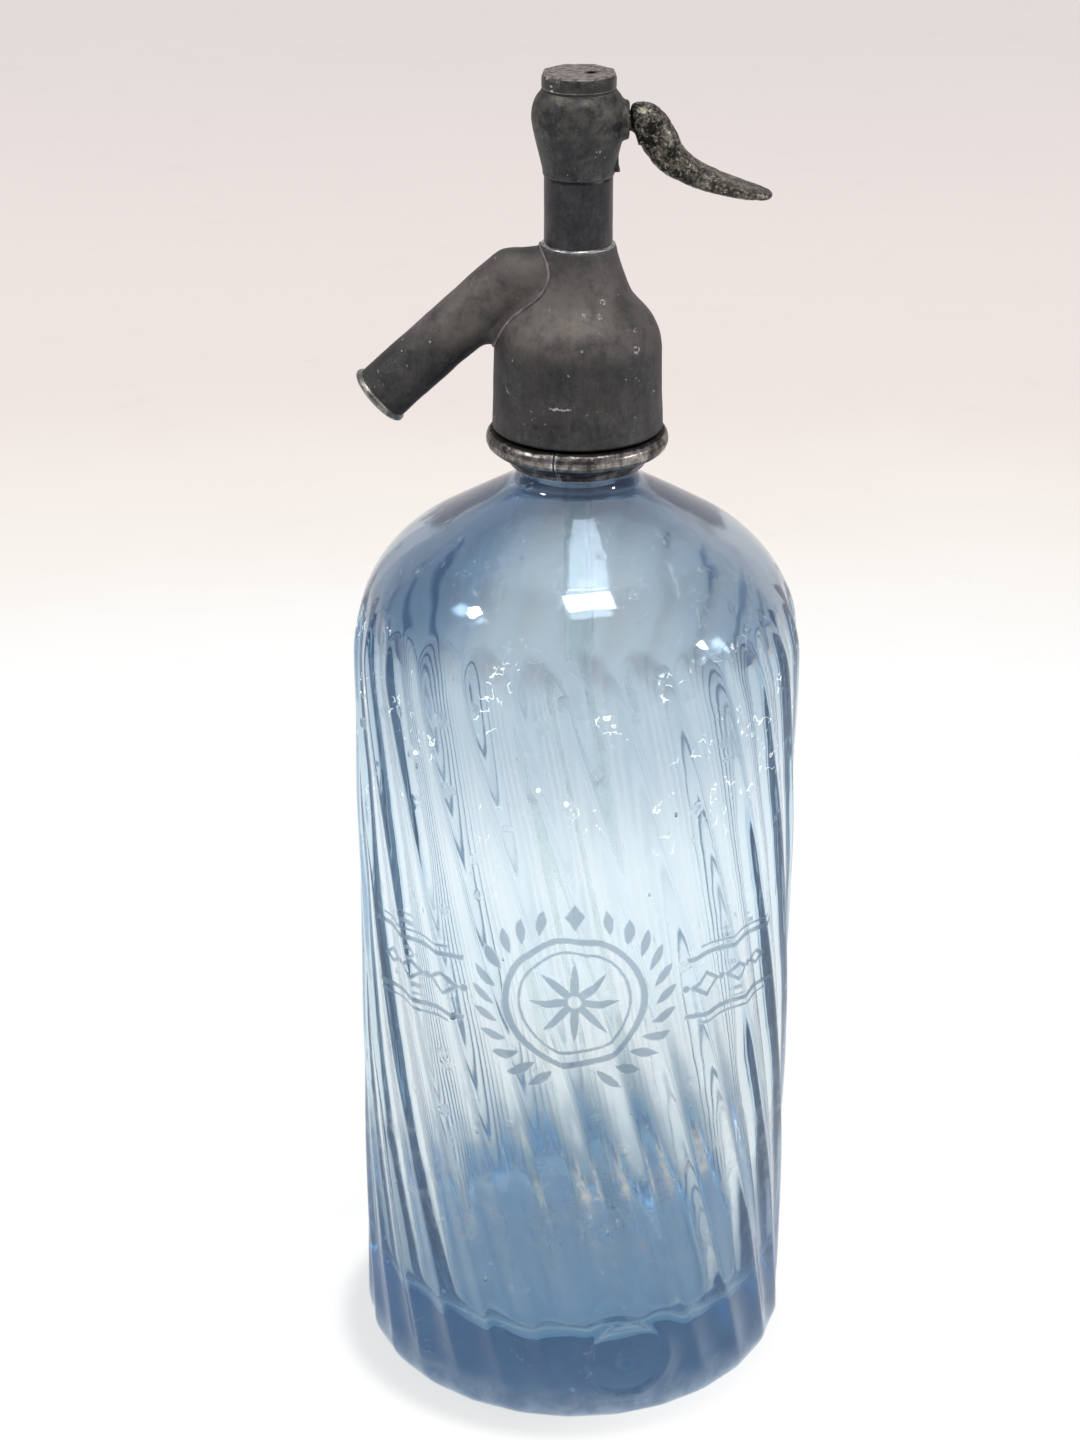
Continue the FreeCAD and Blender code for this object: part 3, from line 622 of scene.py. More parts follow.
glass, t, shader = new_material("pale_blue_glass", Transmission_Weight=1.0, IOR=1.5, Roughness=0.02,
                                Specular_Tint=(0.80, 0.88, 0.97, 1), Emission_Strength=1.0)
place = t.place()
etched, radius, x, y, z = etched_design(t, place)
inside = (radius < MID_WALL) * (z > 0.012)
low = t.ramp(z, 0.030, 0.050) * t.fade(z, 0.060, 0.088)
film = inside * low * t.ramp(t.noise(place, 120, detail=7.0, rough=0.75, twist=0.4), 0.48, 0.64)
scuff = t.ramp(t.noise(place, 420), 0.66, 0.72)
scuff = scuff * t.ramp(t.noise(place, 60, detail=2.0), 0.48, 0.62)
tint = t.blend(etched, (0.97, 0.99, 1.0), (0.36, 0.43, 0.50))
tint = t.blend(film * 0.65, tint, (0.72, 0.70, 0.69))
tint = t.blend(scuff * 0.35, tint, (0.80, 0.84, 0.86))
# Painted shade in the glass colour: darker over the shoulder and far darker at the neck, a faint warm shade
# on the front below the medallion, dark blue at the heel, and darker bands along the rear flutes.
painted_shade = t.blend(t.ramp(z, 0.186, 0.205), (0.60, 0.65, 0.70), (0.76, 0.78, 0.80))
painted_shade = t.blend(t.ramp(z, 0.206, 0.222), painted_shade, (0.15, 0.18, 0.24))
painted_shade = t.blend(t.ramp(z, 0.138, 0.180), (1.0, 1.0, 1.0), painted_shade)
painted_shade = t.blend(t.fade(z, 0.092, 0.125) * (y < 0.0), painted_shade, (0.95, 0.92, 0.885))
heel = t.blend(t.ramp(z, 0.002, 0.010), (0.85, 0.88, 0.90), (0.46, 0.52, 0.60))
painted_shade = t.blend(t.ramp(z, 0.010, 0.024), heel, painted_shade)
phase = t.calc("ARCTAN2", y, x) * FLUTES + z * (2 * math.pi * FLUTES / 1.2)
stripe = t.calc("COSINE", phase + 0.54) * 0.5 + 0.5
rear_flute_shade = (y > 0.008) * (radius > MID_WALL)
rear_flute_shade = rear_flute_shade * (t.ramp(z, 0.030, 0.060) * t.ramp(z, 0.125, 0.170, 1.0, 0.15))
rear_flute_shade = rear_flute_shade * t.ramp(t.noise(place, 26.0, detail=2.0), 0.38, 0.60, 0.35, 1.0)
painted_shade = t.blend(rear_flute_shade * stripe, painted_shade, (0.70, 0.72, 0.74))
# Painted shade on the front of the shoulder, to both sides of a lit middle that narrows upwards, weaker on
# the right side.
lit = 0.006 + (0.216 - z) * 0.75
beside = t.ramp(abs(x) - lit, -0.004, 0.010)
beside = beside * t.ramp(x, -0.01, 0.01, 1.0, 0.38)
beside = beside * (t.ramp(z, 0.172, 0.198) * (y < 0.0))
painted_shade = t.blend(beside, painted_shade, (0.26, 0.35, 0.47))
tint = t.tinted(tint, painted_shade)
patch = t.vector("MULTIPLY", t.vector("SUBTRACT", place, (0.013, 0.029, 0.020)), (88.0, 68.0, 110.0))
patch = t.fade(t.vector("LENGTH", patch, out="Value"), 0.45, 1.1)
patch = patch * t.ramp(t.noise(place, 300, detail=6.0, rough=0.7), 0.40, 0.58) * (inside * 0.75)
tint = t.blend(patch, tint, (0.30, 0.27, 0.22))
haze = etched * 0.42 + film * 0.22 + scuff * 0.12 + 0.026 + inside * 0.035
handled = t.ramp(y, 0.0, 0.020) * (radius > MID_WALL) * t.ramp(z, 0.170, 0.200, 0.12, 0.02)
rubbed = t.ramp(t.noise(place, 160, detail=6.0, rough=0.7), 0.36, 0.62, 0.35, 1.0)
rubbed = t.fade(z, 0.003, 0.013) * rubbed * (radius > FOOT_EDGE)
haze = haze + handled + (radius < FOOT_EDGE) * (z < 0.0050) * 0.45 + rubbed * 0.12 + patch * 0.30
torn = t.frayed(place, 300.0, 0.0022)
near, chance = t.cells(torn, 150.0)
where = t.ramp(z, 0.142, 0.160) * t.fade(z, 0.186, 0.200) * (radius > MID_WALL)
bruise = t.fade(near, 0.16, 0.30) * (chance > 0.80) * (where + 0.12)
crack = t.fade(abs(t.noise(torn, 260, detail=2.0, rough=0.5) - 0.5), 0.0, 0.022)
crack = crack * t.ramp(t.noise(place, 95, detail=1.0), 0.56, 0.61)
crack = crack * t.ramp(t.noise(place, 420, detail=2.0), 0.50, 0.58)
core = t.fade(near, 0.05, 0.12) * (chance > 0.86)
# mark: painted white glints where the chips and cracks catch the light.
mark = t.calc("MAXIMUM", (where * 0.9 + 0.10) * crack, core * (where + 0.10), clamp=True)
# Painted light, as emission: a faint glow over all the glass, brighter where the foot is rubbed, on the film
# and on the ochre deposit.
glow = t.blend(rubbed, (0.015, 0.019, 0.027), (0.165, 0.180, 0.180))
glow = t.blend(film * 0.6, glow, (0.130, 0.118, 0.115))
glow = t.blend(patch, glow, (0.560, 0.420, 0.250))
glow = t.blend(mark, glow, (0.95, 0.98, 0.98))
t.feed(shader, {"Base Color": tint, "Roughness": haze, "Emission Color": glow})
grit = etched * t.noise(place, 2600, detail=2.0)
chip = bruise * t.noise(place, 1500, detail=2.0)
t.relief(shader, t.noise(place, 80, detail=1.0) + grit * 0.25 - chip * 3.0, 0.25, 0.0006)
rays = t.put("ShaderNodeLightPath").outputs
let_through = t.calc("MAXIMUM", rays["Is Shadow Ray"], rays["Is Diffuse Ray"])
open_glass = t.get("ShaderNodeBsdfTransparent", {0: (0.93, 0.95, 0.97, 1)})
choice = t.get("ShaderNodeMixShader", {0: let_through, 1: shader.outputs[0], 2: open_glass})
blue = t.get("ShaderNodeVolumeAbsorption", {0: (0.20, 0.52, 0.70, 1), 1: 42.0})
t.feed(t.tree.nodes["Material Output"], {"Surface": choice, "Volume": blue})
bottle.data.materials.clear()
bottle.data.materials.append(glass)
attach(bottle, HOLDER)
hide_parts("bottle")


# ---- Dip tube ----------------------------------------------------------------------------------
# A clear drawn glass tube from the valve down to the floor, held only at its top.
# Its foot is cut on the slant and fire polished; it is very slightly bent.

TUBE_R, TUBE_BORE_R, TUBE_Z0, TUBE_Z1 = 3.2, 2.1, 19.0, 255.9


def dip_tube_skin():
    """Outer wall, rounded ends and bore as one closed skin.  The foot rises with x along a plane
    of 30 degrees; a half sine wave bends the free part sideways."""
    height = np.concatenate([np.zeros(2), np.linspace(0, 1, 50), np.ones(4), np.linspace(1, 0, 50),
                             np.zeros(2)])
    edge = 0.35
    radius = np.concatenate([[TUBE_BORE_R + edge, TUBE_R - edge], np.full(50, TUBE_R),
                             [TUBE_R - 0.15, TUBE_R - edge, TUBE_BORE_R + edge, TUBE_BORE_R + 0.15],
                             np.full(50, TUBE_BORE_R), [TUBE_BORE_R + 0.12, TUBE_BORE_R + edge]])
    angle = circle(40)
    x = radius[:, None] * np.cos(angle)
    y = radius[:, None] * np.sin(angle)
    foot = TUBE_Z0 + 2 - x * math.tan(math.radians(30))
    z = foot + (TUBE_Z1 - foot) * height[:, None]
    bend = np.sin(math.pi * fall(z, 240, 240)) ** 2
    return np.stack([x + 0.9 * bend, y - 0.4 * bend, z], axis=-1)


dip_tube = grid_object("dip_tube_glass", dip_tube_skin(), ring=True, weld=True)
clear, t, shader = new_material("clear_tube_glass", Transmission_Weight=1.0, IOR=1.5)
place = t.place()
smear = t.ramp(t.noise(place, 110, detail=5.0, rough=0.7), 0.5, 0.72)
t.feed(shader, {"Base Color": t.blend(smear, (0.93, 0.96, 0.95), (0.80, 0.82, 0.78)),
                "Roughness": smear * 0.25 + 0.03})
dip_tube.data.materials.append(clear)
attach(dip_tube, HOLDER)
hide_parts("dip_tube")


# ---- Tarnish and wear, as shader groups --------------------------------------------------------
# Every metal on this bottle is old.  Tarnish gives clouded colour, a matt grey bloom, pits and
# small bright scratches; rubbed edges come from how sharply the surface turns.

def new_group(name, inputs, outputs):
    """Shader group; outputs are {name: kind} and inputs {name: (kind, first value)}."""
    tree = bpy.data.node_groups.new(name, "ShaderNodeTree")
    for key, (kind, value) in inputs.items():
        socket = tree.interface.new_socket(key, in_out="INPUT", socket_type="NodeSocket" + kind)
        socket.default_value = (*value, 1) if kind == "Color" else value
    for key, kind in outputs.items():
        tree.interface.new_socket(key, in_out="OUTPUT", socket_type="NodeSocket" + kind)
    t = Tree(tree)
    return t, t.parts(t.put("NodeGroupInput")), t.put("NodeGroupOutput")


t, given, result = new_group(
    "tarnish",
    {"Deep": ("Color", (0.05, 0.05, 0.05)), "Pale": ("Color", (0.15, 0.14, 0.12)),
     "Bare": ("Color", (0.45, 0.43, 0.38)), "Cloud Size": ("Float", 120.0), "Bloom": ("Float", 0.5),
     "Pits": ("Float", 0.5), "Scratches": ("Float", 0.5), "Dull": ("Float", 0.5)},
    {"Color": "Color", "Roughness": "Float", "Height": "Float"})
place = t.place()
clouds = t.noise(place, given["Cloud Size"], detail=6.0, rough=0.62, twist=0.35)
fine = t.noise(place, 2600.0, rough=0.6)
middle = t.noise(place, 620.0, detail=4.0, rough=0.6)
bloom = t.ramp(clouds, 0.40, 0.66) * given["Bloom"]
colour = t.blend(bloom, given["Deep"], given["Pale"])
drawn = t.ramp(t.noise(t.stretched(place, (1.0, 1.0, 0.16)), 1500.0, detail=2.0), 0.32, 0.68, 0.90, 1.10)
speckle = t.ramp(middle, 0.30, 0.72, 0.76, 1.26) * drawn
grain = t.ramp(fine, 0.30, 0.70, 0.84, 1.18)
colour = t.tinted(colour, t.grey(speckle * grain))
near, chance = t.cells(place, 330.0)
pit = t.fade(near, 0.10, 0.26) * (chance > 1.0 - given["Pits"] * 0.16)
streaks = t.stretched(place, (1.0, 0.06, 1.0), turn=(0.5, 0.9, 0.3))
hair = t.ramp(t.noise(streaks, 1500.0, detail=1.0), 0.70, 0.74)
scratch = hair * t.ramp(t.noise(place, 170.0, detail=2.0), 0.52, 0.62) * given["Scratches"]
near, chance = t.cells(place, 520.0, part=1)
nick = t.fade(near, 0.10, 0.22) * (chance > 1.0 - given["Scratches"] * 0.02)
bare = t.calc("MAXIMUM", scratch, nick, clamp=True)
colour = t.blend(pit * 0.5, colour, (0.016, 0.016, 0.016))
colour = t.blend(bare, colour, given["Bare"])
rough = t.calc("SUBTRACT", given["Dull"] + (middle - 0.5) * 0.28, bare * 0.18, clamp=True)
height = middle * 0.55 + fine * 0.30 - (pit * 1.1 + scratch * 0.2)
t.feed(result, {"Color": colour, "Roughness": rough, "Height": height})
TARNISH = t.tree

t, given, result = new_group(
    "rubbed_edges",
    {"From": ("Float", 0.52), "To": ("Float", 0.60), "Break": ("Float", 0.6)},
    {"Mask": "Float"})
patchy = (t.noise(t.place(), 480.0, detail=4.0, rough=0.65) - 0.5) * given["Break"]
level = t.get("ShaderNodeNewGeometry", out="Pointiness") + patchy * 0.12
t.feed(result, {"Mask": t.ramp(level, given["From"], given["To"])})
RUBBED = t.tree


def old_metal(name, deep, pale, bare, cloud=120.0, bloom=0.8, pits=0.5, scratches=0.5, dull=0.5,
              metallic=0.85, edges=0.6, edge_from=0.53, edge_to=0.62, relief=0.00006, extra=None):
    """Tarnished metal.  extra(tree, colour, rough) may lay a further mark over colour and
    roughness."""
    material, t, shader = new_material(name, Metallic=metallic)
    inputs = {"Deep": (*deep, 1), "Pale": (*pale, 1), "Bare": (*bare, 1), "Cloud Size": cloud,
              "Bloom": bloom, "Pits": pits, "Scratches": scratches, "Dull": dull}
    old = t.parts(t.put("ShaderNodeGroup", inputs, node_tree=TARNISH))
    worn = t.get("ShaderNodeGroup", {"From": edge_from, "To": edge_to}, node_tree=RUBBED) * edges
    colour = t.blend(worn, old["Color"], bare)
    rough = old["Roughness"] - worn * 0.15
    if extra:
        colour, rough = extra(t, colour, rough)
    t.feed(shader, {"Base Color": colour, "Roughness": rough})
    t.relief(shader, old["Height"], 0.8, relief)
    return material

# ---- Split collar ------------------------------------------------------------------------------
# Two cast brass half rings grip the glass under its lip.  The head screws down over their
# threaded wall; the bead below stays in sight, nicked by pliers, with the split at the front.

COLLAR_PROFILE = [(13.25, 238.0), (13.25, 222.4), (13.5, 222.3), (15.0, 222.3), (15.3, 222.6), (15.6, 223.6),
                  (16.6, 224.6), (17.9, 225.35), (19.0, 225.7), (19.7, 226.3), (20.05, 227.1), (20.1, 227.9),
                  (19.85, 228.8), (19.3, 229.5), (18.4, 229.95), (16.9, 230.0), (16.5, 230.3), (16.5, 238.0)]
SPLIT_ANGLE = 75.0
SPLIT_GAP = 0.4


def collar_half(side):
    """The closed outline swept through half a turn, less the gap; the bead is dinted by short
    radial nicks, each a narrow bell curve in angle."""
    rng = np.random.default_rng(41 + side)
    rows = np.array(COLLAR_PROFILE)
    after = np.roll(rows, -1, axis=0)
    dense = np.concatenate([np.linspace(a, b, 4)[:-1] for a, b in zip(rows, after)])
    start = math.radians(SPLIT_ANGLE + (0 if side > 0 else 180))
    share = np.linspace(0, 1, 150)
    gap = (SPLIT_GAP / 2) / dense[:, 0]
    angle = start + gap + (math.pi - 2 * gap) * share[:, None]
    nick_at = start + rng.uniform(0.05, math.pi - 0.05, 26)
    nick = (rng.uniform(0.05, 0.22, 26) * hump(angle[..., None], nick_at, 0.012)).sum(-1)
    bead = hump(dense[:, 1], 227.9, 1.5) * (dense[:, 0] > 17.5)
    uneven = 0.07 * ripple(about_axis(dense[:, 0], angle, dense[:, 1]), 7, 43) - 0.07
    radius = dense[:, 0] - bead * nick + uneven * (dense[:, 0] > 15.2) * (dense[:, 1] < 230.2)
    return about_axis(radius, angle, dense[:, 1])


def collar_gap_shade(t, colour, rough):
    """Painted shade, near black, on the ledge under the bell and in the corner below the bead."""
    place = t.place()
    *_, z = t.split(place)
    level = z + (t.noise(place, 700.0, detail=2.0) - 0.5) * 0.0008
    corner = t.ramp(level, 0.2244, 0.2250) * t.fade(level, 0.2256, 0.2261)
    # Painted shade: near black where the collar runs under the bell and in the corner below the bead.
    black = t.calc("MAXIMUM", t.ramp(level, 0.22925, 0.22965), corner) * 0.93
    return t.blend(black, colour, (0.008, 0.007, 0.007)), rough + black * 0.3


collar_metal = old_metal("worn_collar_bronze", (0.060, 0.052, 0.047), (0.34, 0.305, 0.275),
                         (0.70, 0.65, 0.60), cloud=240.0, bloom=1.0, pits=0.5, scratches=0.9, dull=0.38,
                         metallic=0.85, edges=0.9, edge_from=0.508, edge_to=0.555, extra=collar_gap_shade)
for side, node in ((1, "collar_half_spout_side"), (-1, "collar_half_lever_side")):
    half = grid_object(node + "_bronze", collar_half(side), lids=True)
    half.data.materials.append(collar_metal)
    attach(half, HOLDER)
    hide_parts(node)


# ---- Rubber and leather seals, and the turned brass inside -------------------------------------
# Gasket, tube seal and valve washer are cut rubber, the packings leather.  Ferrule, seat, gland
# and the valve's pieces are turned brass; none of them shows from outside.

def soft_material(name, colour, pale, size, dull):
    """Rubber or leather with a fine skin grain and a pale bloom."""
    material, t, shader = new_material(name)
    place = t.place()
    bloom = t.ramp(t.noise(place, 300.0, detail=5.0, rough=0.7), 0.45, 0.70)
    t.feed(shader, {"Base Color": t.blend(bloom, colour, pale), "Roughness": dull - bloom * 0.15})
    t.relief(shader, t.get("ShaderNodeTexVoronoi", {"Vector": place, "Scale": size}), 0.6, 0.00005)
    return material


def turned_material(name, deep, pale, dull):
    """Turned metal: fine rings around the axis from the tool, with a thin brown tarnish."""
    material, t, shader = new_material(name, Metallic=1.0)
    place = t.place()
    x, y, z = t.split(place)
    stain = t.ramp(t.noise(place, 260.0, detail=5.0, rough=0.65), 0.42, 0.66)
    t.feed(shader, {"Base Color": t.blend(stain, pale, deep), "Roughness": dull + stain * 0.2})
    t.relief(shader, t.calc("SINE", (t.hypot(x, y) + z) * 26000.0), 0.3, 0.00002)
    return material


def dress(node, material):
    """Gives a CAD node a material in place of its plain one."""
    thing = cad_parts[node]
    thing.data.materials.clear()
    thing.data.materials.append(material)


rubber = soft_material("aged_rubber", (0.045, 0.035, 0.030), (0.11, 0.09, 0.075), 1400.0, 0.75)
leather = soft_material("greased_leather", (0.020, 0.016, 0.013), (0.045, 0.036, 0.029), 1900.0, 0.62)
inner_brass = turned_material("turned_brass", (0.34, 0.22, 0.09), (0.72, 0.54, 0.25), 0.28)
drawn_steel = turned_material("drawn_steel", (0.22, 0.20, 0.18), (0.50, 0.49, 0.47), 0.30)
for node in ("neck_gasket", "tube_seal", "valve_washer"):
    dress(node, rubber)
for node in ("stem_packing", "cap_washer"):
    dress(node, leather)
for node in ("tube_ferrule", "valve_seat", "packing_gland", "washer_cup", "valve_stem", "spring_collar",
             "stem_yoke"):
    dress(node, inner_brass)
pin_steel = old_metal("blackened_pin_steel", (0.030, 0.029, 0.030), (0.062, 0.059, 0.056),
                      (0.20, 0.19, 0.18), dull=0.55, metallic=0.8, edges=0.3)
dress("lever_pin", pin_steel)


# ---- Head --------------------------------------------------------------------------------------
# One grey pewter casting: a threaded skirt and a bell that narrows to the barrel, hollow for the
# ferrule and the valve.  Handling has left dints.  The bell's shoulder carries a brown, paler bloom with
# painted light over it, and its lowest edge a painted shade.

BELL_OUTSIDE = [(16.65, 230.7), (18.1, 230.5), (18.45, 230.55), (18.72, 230.85), (18.72, 231.4),
                (18.66, 234.0), (18.55, 238.0), (18.47, 242.0), (18.38, 246.0), (18.32, 248.4),
                (18.22, 249.6), (18.0, 250.9), (17.55, 252.4), (16.75, 254.3), (15.7, 255.9),
                (14.3, 257.5), (13.0, 258.9), (12.0, 260.2), (11.1, 261.9), (10.35, 263.8), (9.7, 265.6),
                (9.15, 267.3), (8.65, 269.0), (8.35, 270.3), (8.1, 271.0)]
BELL_INSIDE = [(2.3, 271.0), (2.3, 268.5), (5.6, 268.5), (5.6, 259.0), (6.4, 259.0), (6.4, 249.5),
               (16.65, 249.5)]


def smooth_outline(points, count):
    """Points spread evenly along a curve through the given ones: a Catmull-Rom spline, the cubic
    whose slope at each point is half the step between its neighbours."""
    points = np.asarray(points, float)
    padded = np.concatenate([2 * points[:1] - points[1:2], points, 2 * points[-1:] - points[-2:-1]])
    a, b, c, d = padded[:-3], padded[1:-2], padded[2:-1], padded[3:]
    t = np.linspace(0, 1, 24, endpoint=False)[None, :, None]
    curve = 0.5 * (2 * b[:, None] + (c - a)[:, None] * t + (2 * a - 5 * b + 4 * c - d)[:, None] * t ** 2
                   + (3 * b - a - 3 * c + d)[:, None] * t ** 3)
    curve = np.concatenate([curve.reshape(-1, points.shape[1]), points[-1:]])
    length = np.concatenate([[0], np.cumsum(np.linalg.norm(np.diff(curve, axis=0), axis=1))])
    wanted = np.linspace(0, length[-1], count)
    return np.stack([np.interp(wanted, length, curve[:, k]) for k in range(points.shape[1])], axis=1)


def tight_corners(points, gap=0.12):
    """Doubles each corner of an outline a little way before and after it, so it stays crisp."""
    points = np.asarray(points, float)
    made = [points[:1]]
    for k in range(1, len(points) - 1):
        for other in (points[k - 1], points[k + 1]):
            way = other - points[k]
            made.append((points[k] + unit(way) * gap)[None])
    return np.concatenate(made + [points[-1:]])


def bells(points, at, width):
    """For each point the sum of bell curves of its distance from some places."""
    return np.exp(-(np.linalg.norm(points[..., None, :] - at, axis=-1) / width) ** 2).sum(-1)


BELL_PITS = [(-1.10, 261.3, 0.8), (-1.21, 258.7, 0.7), (-1.47, 259.1, 0.5), (-0.70, 255.3, 0.7),
             (-0.78, 251.5, 1.2), (-1.68, 247.5, 0.4)]           # angle about the axis, height, size
BELL_FRAY = 0.0014                          # how far the marks' outlines are torn, in metres


def bell_skin():
    """The outline turned about the axis.  The outer part sinks by a slow unevenness and by round
    dints, each a bell curve of the distance from its middle."""
    rng = np.random.default_rng(53)
    outer = smooth_outline(BELL_OUTSIDE, 130)
    inner = tight_corners([BELL_OUTSIDE[-1]] + BELL_INSIDE + [BELL_OUTSIDE[0]])
    angle = circle(240)
    skin = spun(outer, angle)
    dints = rng.uniform(0, 2 * math.pi, 26), rng.uniform(233, 262, 26), rng.uniform(0.7, 2.6, 26)
    dints = [np.concatenate([few, own]) for few, own in zip(dints, np.transpose(BELL_PITS))]
    depth = 0.13 * bells(skin, about_axis(18, dints[0], dints[1]), dints[2])
    depth += 0.055 * (1 + ripple(skin, 9, 55)) + 0.02 * (1 + ripple(skin, 3, 56))
    depth *= rise(outer[:, 1], 230.6, 1.0)[:, None] * fall(outer[:, 1], 271, 1.5)[:, None]
    skin[..., :2] *= (1 - depth / outer[:, :1])[..., None]
    return np.concatenate([skin, spun(inner[1:], angle)])


def pewter_marks(t, colour, rough):
    """A brown, paler band over the bell's shoulder, stronger on the spout side: bloom, and painted light on
    the shoulder's upper face.  Painted shade, near black, on the bell's lowest edge over the gap to the
    collar.  A pale streak under the spout's knee."""
    place = t.place()
    x, y, z = t.split(place)
    # brown: a paler brown band over the bell's shoulder, stronger on the spout side: bloom, and painted
    # light on the shoulder's upper face.
    shoulder = t.ramp(z, 0.2475, 0.2535) * t.ramp(z, 0.262, 0.272, 1.0, 0.35)
    lump = t.ramp(t.noise(place, 200.0, detail=7.0, rough=0.7), 0.34, 0.60, 0.25, 1.0)
    brown = shoulder * lump * t.ramp(x, 0.0, 0.012, 0.80, 0.42)
    colour = t.blend(brown, colour, (0.205, 0.182, 0.160))
    # Painted shade: the bell's lowest edge, over the gap to the collar, is painted near black.
    colour = t.blend(t.ramp(z, 0.23065, 0.23125, 0.92, 0.0), colour, (0.006, 0.006, 0.006))
    rust = t.ramp(t.noise(place, 90.0, detail=6.0, twist=0.8), 0.50, 0.68) * 0.30
    colour = t.blend(rust, colour, (0.118, 0.092, 0.088))
    frayed = t.frayed(place, 1100.0, BELL_FRAY)
    torn = t.ramp(t.noise(place, 1300.0, detail=2.0), 0.45, 0.56, 0.10, 0.95)
    for angle, height, size in BELL_PITS:
        reach = float(np.interp(height, *np.transpose(BELL_OUTSIDE[2:])[::-1]))
        middle = np.array([reach * math.cos(angle), reach * math.sin(angle), height])
        off = t.vector("DISTANCE", frayed, tuple(middle * MM + BELL_FRAY / 2), out="Value")
        size *= MM
        ring = t.ramp(off, 0.35 * size, 0.55 * size) * t.fade(off, 0.7 * size, 0.95 * size)
        colour = t.blend(ring * torn, colour, (0.50, 0.48, 0.45))
    across, _, up = t.split(frayed)
    line = t.fade(abs(up - 0.24060), 0.00010, 0.00028) * t.fade(abs(across + 0.0030), 0.0016, 0.0026)
    colour = t.blend(line * (y < 0.0), colour, (0.55, 0.53, 0.50))
    return colour, rough + brown * 0.06


pewter = old_metal("tarnished_pewter", (0.057, 0.054, 0.052), (0.103, 0.098, 0.093), (0.46, 0.44, 0.41),
                   cloud=120.0, bloom=0.62, pits=0.4, scratches=0.75, dull=0.63, metallic=0.6, edges=0.55,
                   edge_from=0.53, edge_to=0.62, extra=pewter_marks)
head = grid_object("head_bell_pewter", bell_skin(), ring=True, weld=True)
head.data.materials.append(pewter)
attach(head, HOLDER)
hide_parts("head_bell")


# ---- Spout -------------------------------------------------------------------------------------
# A cast pewter tube that leaves the bell level, turns down at a short knee and ends in a rolled
# rim.  It is soldered on: a thin bright seam runs round the joint, with a fillet below.

SPOUT_R = 6.5
SPOUT_DROP = math.radians(42.7)
SPOUT_RUN = 40.4
SPOUT_KNEE = np.array([-14.1, 0.0, 263.9])
SPOUT_DOWN = np.array([-math.cos(SPOUT_DROP), 0, -math.sin(SPOUT_DROP)])
SPOUT_UP = np.array([-math.sin(SPOUT_DROP), 0, math.cos(SPOUT_DROP)])
SPOUT_MOUTH = SPOUT_KNEE + SPOUT_DOWN * SPOUT_RUN
SPOUT_BORE_R, SPOUT_BORE_L, PORT_R = 4.2, 30.0, 3.4
AROUND = circle(96)       # 0 is the spout's upper side
UNDER = 0.5 - 0.5 * np.cos(AROUND)
FILLET = 0.55 + 1.35 * UNDER


def spout_point(along, radius):
    """Points of a mitred tube: the mitre's ellipse, moved back along the level run for negative
    lengths and down the slope for positive ones.  Both moves are halves of a hyperbola, which
    rounds the corner between them."""
    slant = math.tan(SPOUT_DROP / 2)
    ellipse = np.stack([-slant * radius * np.cos(AROUND), radius * np.sin(AROUND),
                        radius * np.cos(AROUND)], axis=-1)
    bend = np.hypot(along, 1.6)
    back, forth = (bend - along) / 2, (bend + along) / 2
    return SPOUT_KNEE + ellipse + back[..., None] * (1.0, 0, 0) + forth[..., None] * SPOUT_DOWN


def bell_radius(z):
    """Outer radius of the bell at a height."""
    rows = smooth_outline(BELL_OUTSIDE, 200)[8:]
    order = np.argsort(rows[:, 1])
    return np.interp(z, rows[order, 1], rows[order, 0])


def spout_joint():
    """For each angle around the spout, the length along it at which its foot, widened by the
    fillet, comes out of the bell."""
    along = np.linspace(-18, 22, 1600)
    skin = spout_point(along[:, None], SPOUT_R + FILLET)
    inside = np.hypot(skin[..., 0], skin[..., 1]) < bell_radius(skin[..., 2])
    return along[len(along) - 1 - np.argmax(inside[::-1], axis=0)]


def spout_skin():
    """A point inside the bell, the outer skin from the joint to the mouth, the mouth's edge, the
    bore and its closed end.  From the joint on the fillet dies away as an exponential."""
    joint = spout_joint()
    end = SPOUT_RUN + SPOUT_R * np.cos(AROUND) * math.tan(SPOUT_DROP / 2)
    share = np.linspace(0, 1, 150)[:, None] ** 1.3
    along = (joint - 0.8) * (1 - share) + end * share
    swell = FILLET * np.exp(-np.clip(along - joint, 0, None) / (1.0 + 0.7 * UNDER))
    base = spout_point(along, SPOUT_R)
    uneven = 0.05 * (1 + ripple(base, 8, 61)) + 0.02 * (1 + ripple(base, 2.8, 62))
    outer = spout_point(along, SPOUT_R + swell - uneven)
    spoke = SPOUT_UP * np.cos(AROUND)[:, None] + np.array([0, 1.0, 0]) * np.sin(AROUND)[:, None]
    bore = [(SPOUT_R - 0.5, 0.0), (SPOUT_BORE_R + 0.3, 0.0), (SPOUT_BORE_R, 0.3), (SPOUT_BORE_R, 15.0),
            (SPOUT_BORE_R, SPOUT_BORE_L), (PORT_R, SPOUT_BORE_L + 0.1), (PORT_R, SPOUT_BORE_L + 3),
            (0.0, SPOUT_BORE_L + 4)]
    inner = np.stack([SPOUT_MOUTH - SPOUT_DOWN * back + spoke * radius for radius, back in bore])
    root = np.zeros((1, 96, 3)) + (-8.6, 0, SPOUT_KNEE[2])
    return np.concatenate([root, outer, inner])


